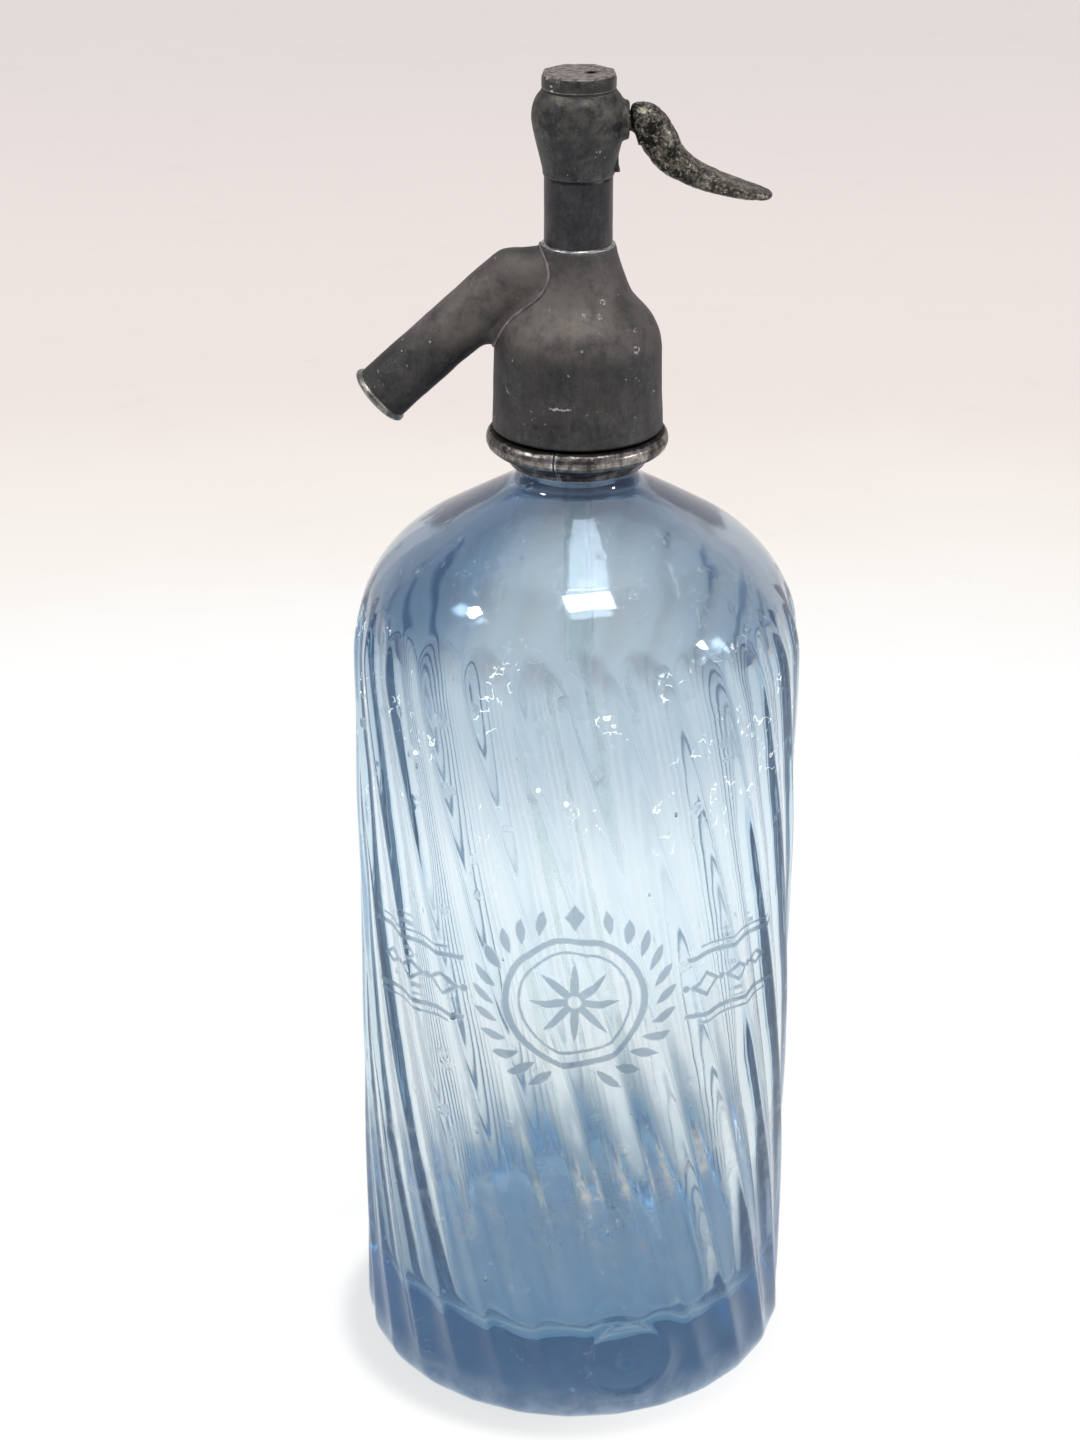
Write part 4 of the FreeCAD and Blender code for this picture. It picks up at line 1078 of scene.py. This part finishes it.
spout = grid_object("spout_pewter", spout_skin(), weld=True)
spout.data.materials.append(pewter)
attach(spout, HOLDER)
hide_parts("spout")


def bead(path, radius, sides=10, lump=0.0, seed=0):
    """Round bead along a closed path: circles across the path's direction, set out from the
    path's middle, their size varied by a smooth ripple."""
    way = unit(np.roll(path, -1, axis=0) - np.roll(path, 1, axis=0))
    side = unit(np.cross(way, path - path.mean(0)))
    over = np.cross(side, way)
    angle = circle(sides)[:, None]
    size = radius * (1 + lump * ripple(path, 4, seed))[:, None, None]
    return path[:, None] + size * (side[:, None] * np.cos(angle) + over[:, None] * np.sin(angle))


seam_path = spout_point(spout_joint(), SPOUT_R + FILLET)
seam = grid_object("spout_solder_seam", bead(seam_path, 0.40, lump=0.30, seed=67), ring=True, weld=True)
solder = old_metal("rubbed_solder", (0.150, 0.130, 0.124), (0.270, 0.232, 0.218), (0.40, 0.37, 0.35),
                   cloud=240.0, bloom=0.9, pits=0.3, scratches=0.6, dull=0.62, metallic=0.25, edges=0.35,
                   edge_from=0.53, edge_to=0.62)
seam.data.materials.append(solder)
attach(seam, HOLDER)


# ---- Spout rim ---------------------------------------------------------------------------------
# The mouth is turned out into a rolled rim, knocked out of round and rubbed bright on its edge.

def rim_skin():
    """A closed oval outline turned about the spout's line, its radius and place along the spout
    varied a little around."""
    spoke = SPOUT_UP * np.cos(AROUND)[:, None] + np.array([0, 1.0, 0]) * np.sin(AROUND)[:, None]
    outline = [(4.6, 0.0), (6.0, -0.02), (6.75, -0.12), (7.12, -0.42), (7.22, -0.85), (7.08, -1.3),
               (6.8, -1.52), (6.42, -1.58), (6.3, -1.0), (4.6, -0.5)]
    rows = smooth_outline(outline, 34)
    wave = 1 + 0.3 * ripple(spoke * 7, 6, 71)
    size = rows[:, :1] - 0.06 * np.clip(rows[:, :1] - 6.3, 0, 1) * (1 + wave)
    return SPOUT_MOUTH + SPOUT_DOWN * rows[:, 1][:, None, None] + spoke[None] * size[..., None]


rim = grid_object("spout_rim_pewter", rim_skin(), ring=True, weld=True)
rim_metal = old_metal("rubbed_rim_pewter", (0.150, 0.143, 0.130), (0.360, 0.340, 0.305),
                      (0.58, 0.56, 0.50), cloud=260.0, bloom=1.0, pits=0.4, scratches=0.8, dull=0.46,
                      metallic=0.8, edges=0.9, edge_from=0.515, edge_to=0.58)
rim.data.materials.append(rim_metal)
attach(rim, HOLDER)
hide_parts("spout_rim")


# ---- Barrel ------------------------------------------------------------------------------------
# A smooth drawn tube, darker than the castings, let into the bell and the housing.  A bright
# ring of solder runs round its foot.

def tube_skin(r_in, r_out, z0, z1, columns=160, seed=0, uneven=0.02):
    """Tube with small rounds at its four edges, very slightly uneven outside."""
    edge = min(0.15, (r_out - r_in) / 3)
    rows = np.array([(r_in, z0 + edge), (r_in + edge, z0), (r_out - edge, z0), (r_out, z0 + edge)]
                    + [(r_out, z0 + edge + (z1 - z0 - 2 * edge) * k / 24) for k in range(1, 24)]
                    + [(r_out, z1 - edge), (r_out - edge, z1), (r_in + edge, z1), (r_in, z1 - edge)])
    skin = spun(rows, circle(columns))
    outer = rows[:, :1] > r_out - edge / 2
    shrink = 1 - outer * uneven * (1 + ripple(skin, 6, seed)) / rows[:, :1]
    skin[..., :2] *= shrink[..., None]
    return skin


barrel = grid_object("barrel_tube_metal", tube_skin(5.7, 7.4, 271.0, 286.4, seed=73), ring=True, weld=True)
barrel_metal = old_metal("smooth_dark_tube", (0.041, 0.039, 0.041), (0.072, 0.069, 0.070),
                         (0.30, 0.29, 0.28), cloud=150.0, bloom=0.6, pits=0.25, scratches=0.35, dull=0.42,
                         metallic=0.75, edges=0.3, relief=0.00002)
barrel.data.materials.append(barrel_metal)
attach(barrel, HOLDER)
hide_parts("barrel_tube")


def barrel_ring_skin():
    """Half-round ring of solder: outline bulged outwards, its height varied around."""
    angle = circle(200)
    outline = [(7.42, 271.0), (7.75, 270.98), (7.97, 271.15), (7.97, 271.4), (7.78, 271.62),
               (7.42, 271.75)]
    rows = smooth_outline(outline, 16)
    skin = spun(rows, angle)
    wave = ripple(skin, 5, 79) * 0.10
    skin[..., 2] += wave * (rows[:, 1:] > 271.2)
    return skin


ring = grid_object("barrel_ring_solder", barrel_ring_skin(), ring=True, weld=True)
bright = old_metal("bright_solder", (0.22, 0.215, 0.21), (0.48, 0.47, 0.45), (0.75, 0.73, 0.70),
                   cloud=420.0, bloom=1.0, pits=0.2, scratches=0.6, dull=0.36, metallic=0.9, edges=0.8,
                   edge_from=0.51, edge_to=0.57)
ring.data.materials.append(bright)
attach(ring, HOLDER)
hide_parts("barrel_ring")


# ---- Return spring -----------------------------------------------------------------------------
# Five turns of drawn steel wire between the collar on the valve stem and the web of the housing.
# On the valve its foot rises with the stem when the lever is pressed and its top stays put; here the wire is
# made at rest only.

SPRING_TURNS, SPRING_R, WIRE_R = 5, 3.75, 0.35
SPRING_FOOT, SPRING_TOP = 280.8, 288.4       # heights of the wire's middle


def spring_skin():
    """Wire circles carried up a helix and set square to it.  The height is part even and part
    smooth step of the turns, so the end turns lie closer than the middle ones."""
    share = np.linspace(0, 1, 48 * SPRING_TURNS + 1)[:, None]
    angle = 2 * math.pi * SPRING_TURNS * share
    z = SPRING_FOOT + (SPRING_TOP - SPRING_FOOT) * (0.55 * share + 0.45 * share ** 2 * (3 - 2 * share))
    out = np.concatenate([np.cos(angle), np.sin(angle), 0 * angle], axis=1)
    line = SPRING_R * out + z * (0, 0, 1)
    way = unit(np.gradient(line, axis=0))
    over = np.cross(way, out)
    section = circle(16)[:, None]
    return line[:, None] + WIRE_R * (out[:, None] * np.cos(section) + over[:, None] * np.sin(section))


spring = grid_object("return_spring_wire", spring_skin(), lids=True)
spring.data.materials.append(drawn_steel)
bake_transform(spring)
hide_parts("return_spring")


# ---- Lever housing -----------------------------------------------------------------------------
# A cast bulb over the barrel, with a round boss towards the lever, a rib below it and a window for
# the lever's neck.  Its upper half is greenish where it was handled, its lower half smooth.

BOSS_R, BOSS_X, BOSS_Z, BOSS_ROUND = 4.2, 10.7, 298.2, 0.8
RIB_X, RIB_HALF, RIB_Z0, RIB_Z1 = 8.5, 1.2, 287.0, 293.0
WINDOW_HALF, WINDOW_Z0, WINDOW_Z1 = 2.35, 294.75, 300.9
ROOM_R = 6.0
HOUSING_OUTSIDE = [(7.45, 286.4), (7.56, 286.48), (7.64, 286.8), (7.72, 287.4), (7.98, 288.6), (8.36, 290.1),
                   (8.75, 291.6), (9.13, 293.2), (9.47, 294.7), (9.75, 296.0), (10.0, 297.4), (10.15, 298.5),
                   (10.15, 299.4), (10.0, 300.6), (9.72, 301.7), (9.32, 302.7), (8.85, 303.5), (8.4, 304.1),
                   (8.05, 304.5), (7.95, 304.7)]


def window_angles(radius, share, edge):
    """Column angles at a radius: up to the window's edge they keep a constant distance from the
    middle plane, past it they spread evenly round to the back."""
    limit = np.arcsin(np.minimum(WINDOW_HALF / radius, 0.9))[:, None]
    inside = np.arcsin(np.clip(WINDOW_HALF / radius, None, 0.9)[:, None] * np.clip(share / edge, -1, 1))
    past = np.clip((np.abs(share) - edge) / (1 - edge), 0, None)
    return inside + np.sign(share) * (math.pi - limit) * past


def housing_rows():
    """Outline of the housing as rows of (r, z): the outside, then the room, web and spigot."""
    outside = smooth_outline(HOUSING_OUTSIDE, 90)
    z = np.sort(np.concatenate([outside[:, 1], [WINDOW_Z0, WINDOW_Z1],
                                np.linspace(RIB_Z0 - 0.1, RIB_Z0 + 0.25, 6)]))
    order = np.argsort(outside[:, 1])
    outside = np.stack([np.interp(z, outside[order, 1], outside[order, 0]), z], axis=1)
    room_z = np.concatenate([[304.7], np.linspace(WINDOW_Z1 + 1.2, WINDOW_Z1, 2),
                             z[(z < WINDOW_Z1) & (z > WINDOW_Z0)][::-1], [WINDOW_Z0, 292.5, 290.8]])
    room = np.stack([np.full(len(room_z), ROOM_R), room_z], axis=1)
    below = np.array([(2.3, 290.8), (2.3, 288.8), (4.8, 288.8), (4.8, 282.55), (4.95, 282.4), (5.5, 282.4),
                      (5.65, 282.55), (5.65, 286.4)])
    return outside, room, below


def boss_reach(y, z):
    """Distance of the boss's skin from the axis plane: a flat face with a rounded edge that falls
    by a quarter circle and then steeply."""
    off = np.hypot(y, z - BOSS_Z)
    past = rise(off, BOSS_R - BOSS_ROUND, BOSS_ROUND)
    return BOSS_X - BOSS_ROUND * (1 - np.sqrt(1 - past ** 2)) - 3.0 * np.clip(off - BOSS_R, 0, None)


def smooth_max(a, b, width):
    """The larger of two heights, with a small hollow fillet where they cross."""
    return (a + b + np.sqrt((a - b) ** 2 + width ** 2)) / 2


def housing_skin():
    """Closed skin.  Outside, each point stands off the axis by the largest of bulb, boss and rib;
    slow unevenness and small round pits are taken away from that."""
    rng = np.random.default_rng(83)
    outside, room, below = housing_rows()
    edge = 0.09
    near = np.concatenate([np.linspace(0, edge, 9), np.linspace(edge, 0.24, 26)[1:],
                           np.linspace(0.24, 1, 56)[1:]])
    share = np.concatenate([-near[:0:-1], near[:-1]])
    rows = np.concatenate([outside, room, below])
    angle = window_angles(rows[:, 0], share[None], edge)
    skin = spun(rows, angle)
    count = len(outside)
    turn, z = angle[:count], outside[:, 1:]
    y = outside[:, :1] * np.sin(turn)
    front = np.cos(turn) > 0.5
    cosine = np.where(front, np.cos(turn), 1.0)
    boss = np.where(front, boss_reach(y * 1.03, z) / cosine, 0)
    foot = rise(z, RIB_Z0, 0.2)
    rib = np.where(front, (RIB_X + 0.25 * hump(z - RIB_Z0, 0.4, 0.5)) / cosine, 0)
    rib = rib * foot * (z < RIB_Z1) - 12 * np.clip(np.abs(y) - RIB_HALF, 0, None)
    height = smooth_max(outside[:, :1] + 0 * turn, np.maximum(boss, 0), 0.45)
    height = smooth_max(height, np.maximum(rib, 0), 0.10)
    free = rise(z, 286.6, 0.6) * fall(z, 304.6, 0.6)
    low_edge = 0.05 * hump(z, 287.0, 0.25)
    uneven = 0.045 * (1 + ripple(skin[:count], 6, 85))
    uneven += 0.02 * (1 + ripple(skin[:count], 2.2, 86)) * (z > 295)
    spot = rng.uniform(-math.pi, math.pi, 30), rng.uniform(293, 304, 30), rng.uniform(0.35, 1.1, 30)
    dints = 0.10 * bells(skin[:count], about_axis(10, spot[0], spot[1]), spot[2])
    height = np.minimum(height - free * (uneven + dints) + low_edge, BOSS_X / cosine)
    skin[:count, :, 0] = height * np.cos(turn)
    skin[:count, :, 1] = height * np.sin(turn)
    return skin, share, edge, outside, room


def face_outwards(work):
    """Turns all faces of a closed mesh outwards."""
    bmesh.ops.recalc_face_normals(work, faces=work.faces)


def windowed_object(name, skin, share, edge, outside, room):
    """The skin with the faces of the window left out on both walls, and the four walls of the
    window put in: each joins a border edge outside to the same edge inside."""
    rows, columns = skin.shape[:2]
    number = np.arange(rows * columns).reshape(rows, columns)
    first, last = (int(np.argmin(np.abs(outside[:, 1] - z))) for z in (WINDOW_Z0, WINDOW_Z1))
    top = len(outside) + int(np.argmin(np.abs(room[:, 1] - WINDOW_Z1)))
    wide = np.flatnonzero(np.abs(share) <= edge + 1e-9)
    left, right = wide[0], wide[-1]
    after = np.roll(number, -1, axis=1)
    below = np.roll(number, -1, axis=0)
    quads = np.stack([number, after, np.roll(after, -1, axis=0), below], axis=-1)
    keep = np.ones((rows, columns), bool)
    keep[first:last, left:right] = False
    keep[top:top + last - first, left:right] = False
    outer = number[first:last + 1, left:right + 1]
    inner = number[top:top + last - first + 1, left:right + 1][::-1]
    ring = [np.concatenate([g[0, :-1], g[:-1, -1], g[-1, :0:-1], g[:0:-1, 0]]) for g in (outer, inner)]
    wall = np.stack([ring[0], ring[1], np.roll(ring[1], -1), np.roll(ring[0], -1)], axis=-1)
    faces = np.concatenate([quads[keep], wall]).tolist()
    return mesh_object(name, skin.reshape(-1, 3), faces, face_outwards)


def housing_marks(t, colour, rough):
    """Green-brown cast over the upper half, with a broken lower border, and a rubbed line along
    the lower edge."""
    place = t.place()
    *_, z = t.split(place)
    border = z + (t.noise(place, 260.0) - 0.5) * 0.003
    upper = t.ramp(border, 0.2950, 0.2968)
    lump = t.ramp(t.noise(place, 330.0, detail=6.0, rough=0.7), 0.40, 0.62)
    colour = t.blend(upper * lump * 0.7, colour, (0.140, 0.130, 0.104))
    line = t.ramp(z, 0.2864, 0.2869) * t.fade(z, 0.2871, 0.2878)
    broken = t.ramp(t.noise(place, 380.0), 0.42, 0.60)
    colour = t.blend(line * broken * 0.3, colour, (0.20, 0.19, 0.18))
    return colour, rough + upper * 0.05


housing = windowed_object("lever_housing_pewter", *housing_skin())
bulb_metal = old_metal("handled_pewter", (0.042, 0.041, 0.043), (0.085, 0.082, 0.080), (0.40, 0.38, 0.33),
                       cloud=190.0, bloom=0.7, pits=0.6, scratches=0.7, dull=0.50, metallic=0.75,
                       edges=0.65, edge_from=0.53, edge_to=0.61, extra=housing_marks)
housing.data.materials.append(bulb_metal)
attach(housing, HOLDER)
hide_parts("lever_housing")


# ---- Top cap -----------------------------------------------------------------------------------
# A screw cap with eight facets worn round its upper edge, one nick, and a small off-centre hole.
# Its flat top is lighter, scratched metal.

CAP_R, CAP_Z0, CAP_TOP = 8.0, 305.2, 308.4
CAP_HOLE_X, CAP_HOLE_R = 2.5, 0.8


def cap_skin():
    """Closed skin from the hollow plug over the flank and the facets to the hole.  The flank's
    radius is the smaller of the round and a facet, whose reach shrinks with height; rows of the
    face are circles that slide from the axis to the hole while they shrink."""
    angle = circle(240)
    to_facet = np.cos((angle + math.pi / 8) % (math.pi / 4) - math.pi / 8)
    plug = [(0.0, 304.6), (4.7, 304.6), (4.7, 301.75), (4.85, 301.6), (5.8, 301.6), (5.95, 301.75),
            (5.95, CAP_Z0), (7.7, CAP_Z0), (7.9, 305.26), (CAP_R, 305.45)]
    flank = [(CAP_R, z) for z in np.linspace(305.7, 307.95, 16)]
    flank += [(CAP_R, 308.12), (7.94, 308.22), (7.84, 308.30)]
    rows = np.array(plug + flank)
    reach = (12.0 - 4.7 * (rows[:, 1:] - 300.6) / 7.8) / to_facet
    radius = np.where(rows[:, :1] > 7.8, np.minimum(rows[:, :1], reach), rows[:, :1])
    nick = 0.55 * hump(angle, math.radians(238), 0.055) * rise(rows[:, 1:], 306.9, 1.0)
    wave = 0.05 * (1 + ripple(spun(rows, angle), 5, 89)) * (rows[:, 1:] > 305.3)
    radius = radius - nick - wave
    lower = about_axis(radius, angle, rows[:, 1:])
    share = np.linspace(0, 1, 34)[:, None] ** 0.9
    rim = radius[-1] - 0.10
    size = rim * (1 - share) + CAP_HOLE_R * share
    x = CAP_HOLE_X * share ** 2 + size * np.cos(angle)
    y = size * np.sin(angle)
    from_axis = np.hypot(x, y)
    hollow = 0.22 * np.clip(1 - from_axis / 6.6, 0, 1) + 0.05 * hump(from_axis, 5.3, 0.35)
    place = np.stack([x, y, 0 * x], axis=-1)
    z = CAP_TOP - 0.03 - hollow - 0.03 * (1 + ripple(place, 3.0, 91)) - 0.09 * (share < 0.02)
    face = np.stack([x, y, z], axis=-1)
    hole = [face[-1] + (0, 0, -0.12), face[-1] * (1, 1, 0) + (0, 0, 306.4)]
    middle = hole[-1].mean(0) + 0 * hole[-1]
    return np.concatenate([lower, face, np.stack(hole + [middle])])


def cap_marks(t, colour, rough):
    """The face is lighter, brownish metal with a paler, scratched middle, and painted shade, near black, in
    and around the hole.
    """
    place = t.place()
    x, y, z = t.split(place)
    face = t.ramp(z, 0.30790, 0.30815)
    lump = t.ramp(t.noise(place, 700.0, detail=6.0, rough=0.7), 0.34, 0.66)
    dusty = t.blend(lump, (0.080, 0.068, 0.060), (0.40, 0.36, 0.32))
    lines = t.stretched(place, (0.12, 1.0, 1.0), turn=(0, 0, 0.5))
    scratched = t.ramp(t.noise(lines, 2600.0, detail=1.0), 0.60, 0.66)
    scratched = scratched * t.ramp(t.hypot(x, y), 0.0045, 0.0055, 1.0, 0.3)
    dusty = t.blend(scratched * 0.6, dusty, (0.52, 0.49, 0.44))
    colour = t.blend(face * 0.85, colour, dusty)
    # Painted shade: the hole and a ring around it are painted near black.
    hole_shade = t.fade(t.hypot(x - CAP_HOLE_X * MM, y), 0.0010, 0.0019) * 0.92
    colour = t.blend(hole_shade, colour, (0.012, 0.010, 0.010))
    return colour, rough + hole_shade * 0.2


cap = grid_object("top_cap_pewter", cap_skin(), weld=True)
cap_metal = old_metal("scratched_cap_pewter", (0.046, 0.042, 0.040), (0.10, 0.093, 0.083),
                      (0.58, 0.55, 0.50), cloud=260.0, bloom=0.8, pits=0.5, scratches=0.8, dull=0.48,
                      metallic=0.72, edges=0.85, edge_from=0.52, edge_to=0.59, extra=cap_marks)
cap.data.materials.append(cap_metal)
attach(cap, HOLDER)
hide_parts("top_cap")


# ---- Lever -------------------------------------------------------------------------------------
# A cast brass thumb lever on a cross pin: nose and hub inside the housing, a knob outside it and a
# curved, flattened arm.  Its skin is eaten by corrosion, black in the hollows, worn on top.

# x, z, degrees below level, half height, half width, squareness
LEVER_STATIONS = [
    (-1.3, 298.0, 0, 0.35, 2.05, 6.0), (-1.05, 298.0, 0, 0.85, 2.1, 6.0),
    (-0.5, 298.0, 0, 1.22, 2.1, 6.0), (0.0, 298.0, 0, 1.3, 2.1, 6.0), (0.5, 298.0, 0, 1.2, 2.1, 6.0),
    (1.1, 298.0, 0, 0.86, 2.1, 6.0), (1.6, 298.0, 0, 0.8, 2.1, 6.0), (3.5, 298.0, 0, 0.8, 2.1, 6.0),
    (5.6, 298.0, 0, 0.82, 2.1, 6.0), (6.0, 298.0, 0, 1.25, 2.1, 6.0), (6.8, 298.0, 0, 2.05, 2.1, 6.0),
    (8.2, 298.0, 0, 2.48, 2.1, 6.0), (9.6, 298.0, 0, 2.1, 2.1, 5.0), (10.4, 298.0, 0, 2.05, 2.1, 4.0),
    (10.95, 298.0, -4, 2.1, 2.15, 3.4), (11.35, 298.0, -9, 2.65, 2.6, 2.8),
    (11.75, 297.95, -7, 3.5, 3.3, 2.5), (12.5, 297.95, 2, 3.95, 3.65, 2.4),
    (13.8, 297.85, 17, 4.15, 3.95, 2.35), (15.5, 296.5, 38, 4.15, 4.15, 2.3),
    (17.0, 294.0, 52, 4.1, 4.3, 2.3), (18.4, 291.7, 52, 3.9, 4.35, 2.35),
    (20.0, 289.9, 44, 3.6, 4.45, 2.45), (22.4, 288.25, 35, 3.25, 4.6, 2.5),
    (25.6, 286.5, 26, 2.8, 4.8, 2.6), (28.6, 285.3, 21, 2.48, 4.95, 2.6),
    (31.6, 284.3, 18, 2.18, 5.0, 2.6), (34.6, 283.45, 15, 1.86, 4.9, 2.5),
    (37.2, 282.8, 13, 1.55, 4.5, 2.4), (39.2, 282.42, 11, 1.25, 3.8, 2.3),
    (40.4, 282.22, 9, 0.95, 2.8, 2.2), (41.0, 282.12, 8, 0.6, 1.7, 2.1),
    (41.25, 282.1, 8, 0.25, 0.7, 2.0)]


def lever_skin():
    """Superellipses carried along a smooth curve through the stations, each set square to the
    slope there.  The arm's upper side is flatter and slightly dished.  Eaten hollows are slow and
    quick ripples taken away from the skin; a burr hangs under the knob."""
    rng = np.random.default_rng(97)
    rows = smooth_outline(LEVER_STATIONS, 330)
    x, z, slope, half_h, half_w, square = (rows[:, k:k + 1] for k in range(6))
    angle = circle(72)
    across = np.sign(np.cos(angle)) * np.abs(np.cos(angle)) ** (2 / square)
    up = np.sign(np.sin(angle)) * np.abs(np.sin(angle)) ** (2 / square)
    arm = rise(x, 17, 7)
    dish = 0.30 * arm * (1 - across ** 2) * (up > 0) * up
    flat = np.where(up > 0, 1 - 0.10 * arm, 1.0)
    turn = np.radians(slope)
    y = half_w * across
    h = half_h * (up * flat) - dish * np.clip(half_h / 2, 0, 1)
    skin = np.stack([x + h * np.sin(turn), y, z + h * np.cos(turn)], axis=-1)
    middle = np.stack([x + 0 * y, 0 * y, z + 0 * y], axis=-1)
    way = skin - middle
    way /= np.maximum(np.linalg.norm(way, axis=-1, keepdims=True), 0.05)
    outside = rise(x, 11.2, 1.2) * np.clip((41.2 - x) / 1.5, 0.15, 1)
    eaten = 0.10 * (1 + ripple(skin, 5, 101)) + 0.085 * np.clip(ripple(skin, 2.1, 102) + 0.1, 0, None)
    eaten = eaten + 0.05 * np.clip(ripple(skin, 1.1, 103), 0, None)
    pit = rng.uniform(12, 40, 60), rng.uniform(0, 2 * math.pi, 60), rng.uniform(0.3, 0.9, 60)
    row = np.searchsorted(rows[:, 0], pit[0])
    column = (pit[1] / (2 * math.pi) * 72).astype(int)
    at = skin[np.clip(row, 0, 329), column]
    eaten = eaten + 0.16 * bells(skin, at, pit[2])
    burr = 0.75 * hump(np.linalg.norm((skin - (13.0, -1.6, 294.0)) * (1, 0.8, 1), axis=-1), 0, 0.75)
    return skin - way * (outside * (eaten * 0.9 - 0.05) - burr)[..., None]


def lever_marks(t, colour, rough):
    """Black in the eaten hollows, brass-brown on what stands proud, with pale flecks there that grow towards
    the tip.
    """
    place = t.place()
    x, *_ = t.split(place)
    big = t.noise(place, 420.0, detail=6.0, rough=0.72, twist=0.4)
    small = t.noise(place, 1300.0, detail=4.0, rough=0.7)
    eaten = t.ramp(big * 0.65 + small * 0.35, 0.44, 0.535)
    to_tip = t.ramp(x, 0.016, 0.030)
    black = (1.0 - eaten) * t.ramp(to_tip, 0.0, 1.0, 0.95, 0.50)
    colour = t.blend(black, colour, (0.010, 0.009, 0.008))
    warm = t.ramp(t.noise(place, 800.0), 0.50, 0.62)
    colour = t.blend(eaten * warm * 0.45, colour, (0.215, 0.165, 0.112))
    fleck = t.ramp(t.noise(place, 1500.0, rough=0.7), 0.53, 0.60)
    pale = fleck * eaten * t.ramp(to_tip, 0.0, 1.0, 0.65, 0.85)
    colour = t.blend(pale, colour, (0.50, 0.47, 0.39))
    speck = t.ramp(t.noise(place, 2100.0, detail=2.0, rough=0.6), 0.56, 0.64)
    colour = t.blend(speck * 0.75, colour, (0.018, 0.016, 0.014))
    return colour, rough + black * 0.18


lever = grid_object("lever_brass", lever_skin(), lids=True)
eaten_brass = old_metal("eaten_brass", (0.092, 0.084, 0.067), (0.205, 0.190, 0.150), (0.46, 0.42, 0.33),
                        cloud=300.0, bloom=1.0, pits=0.9, scratches=0.7, dull=0.46, metallic=0.8,
                        edges=0.55, edge_from=0.53, edge_to=0.62, relief=0.00012, extra=lever_marks)
lever.data.materials.append(eaten_brass)
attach(lever, "lever")
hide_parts("lever")
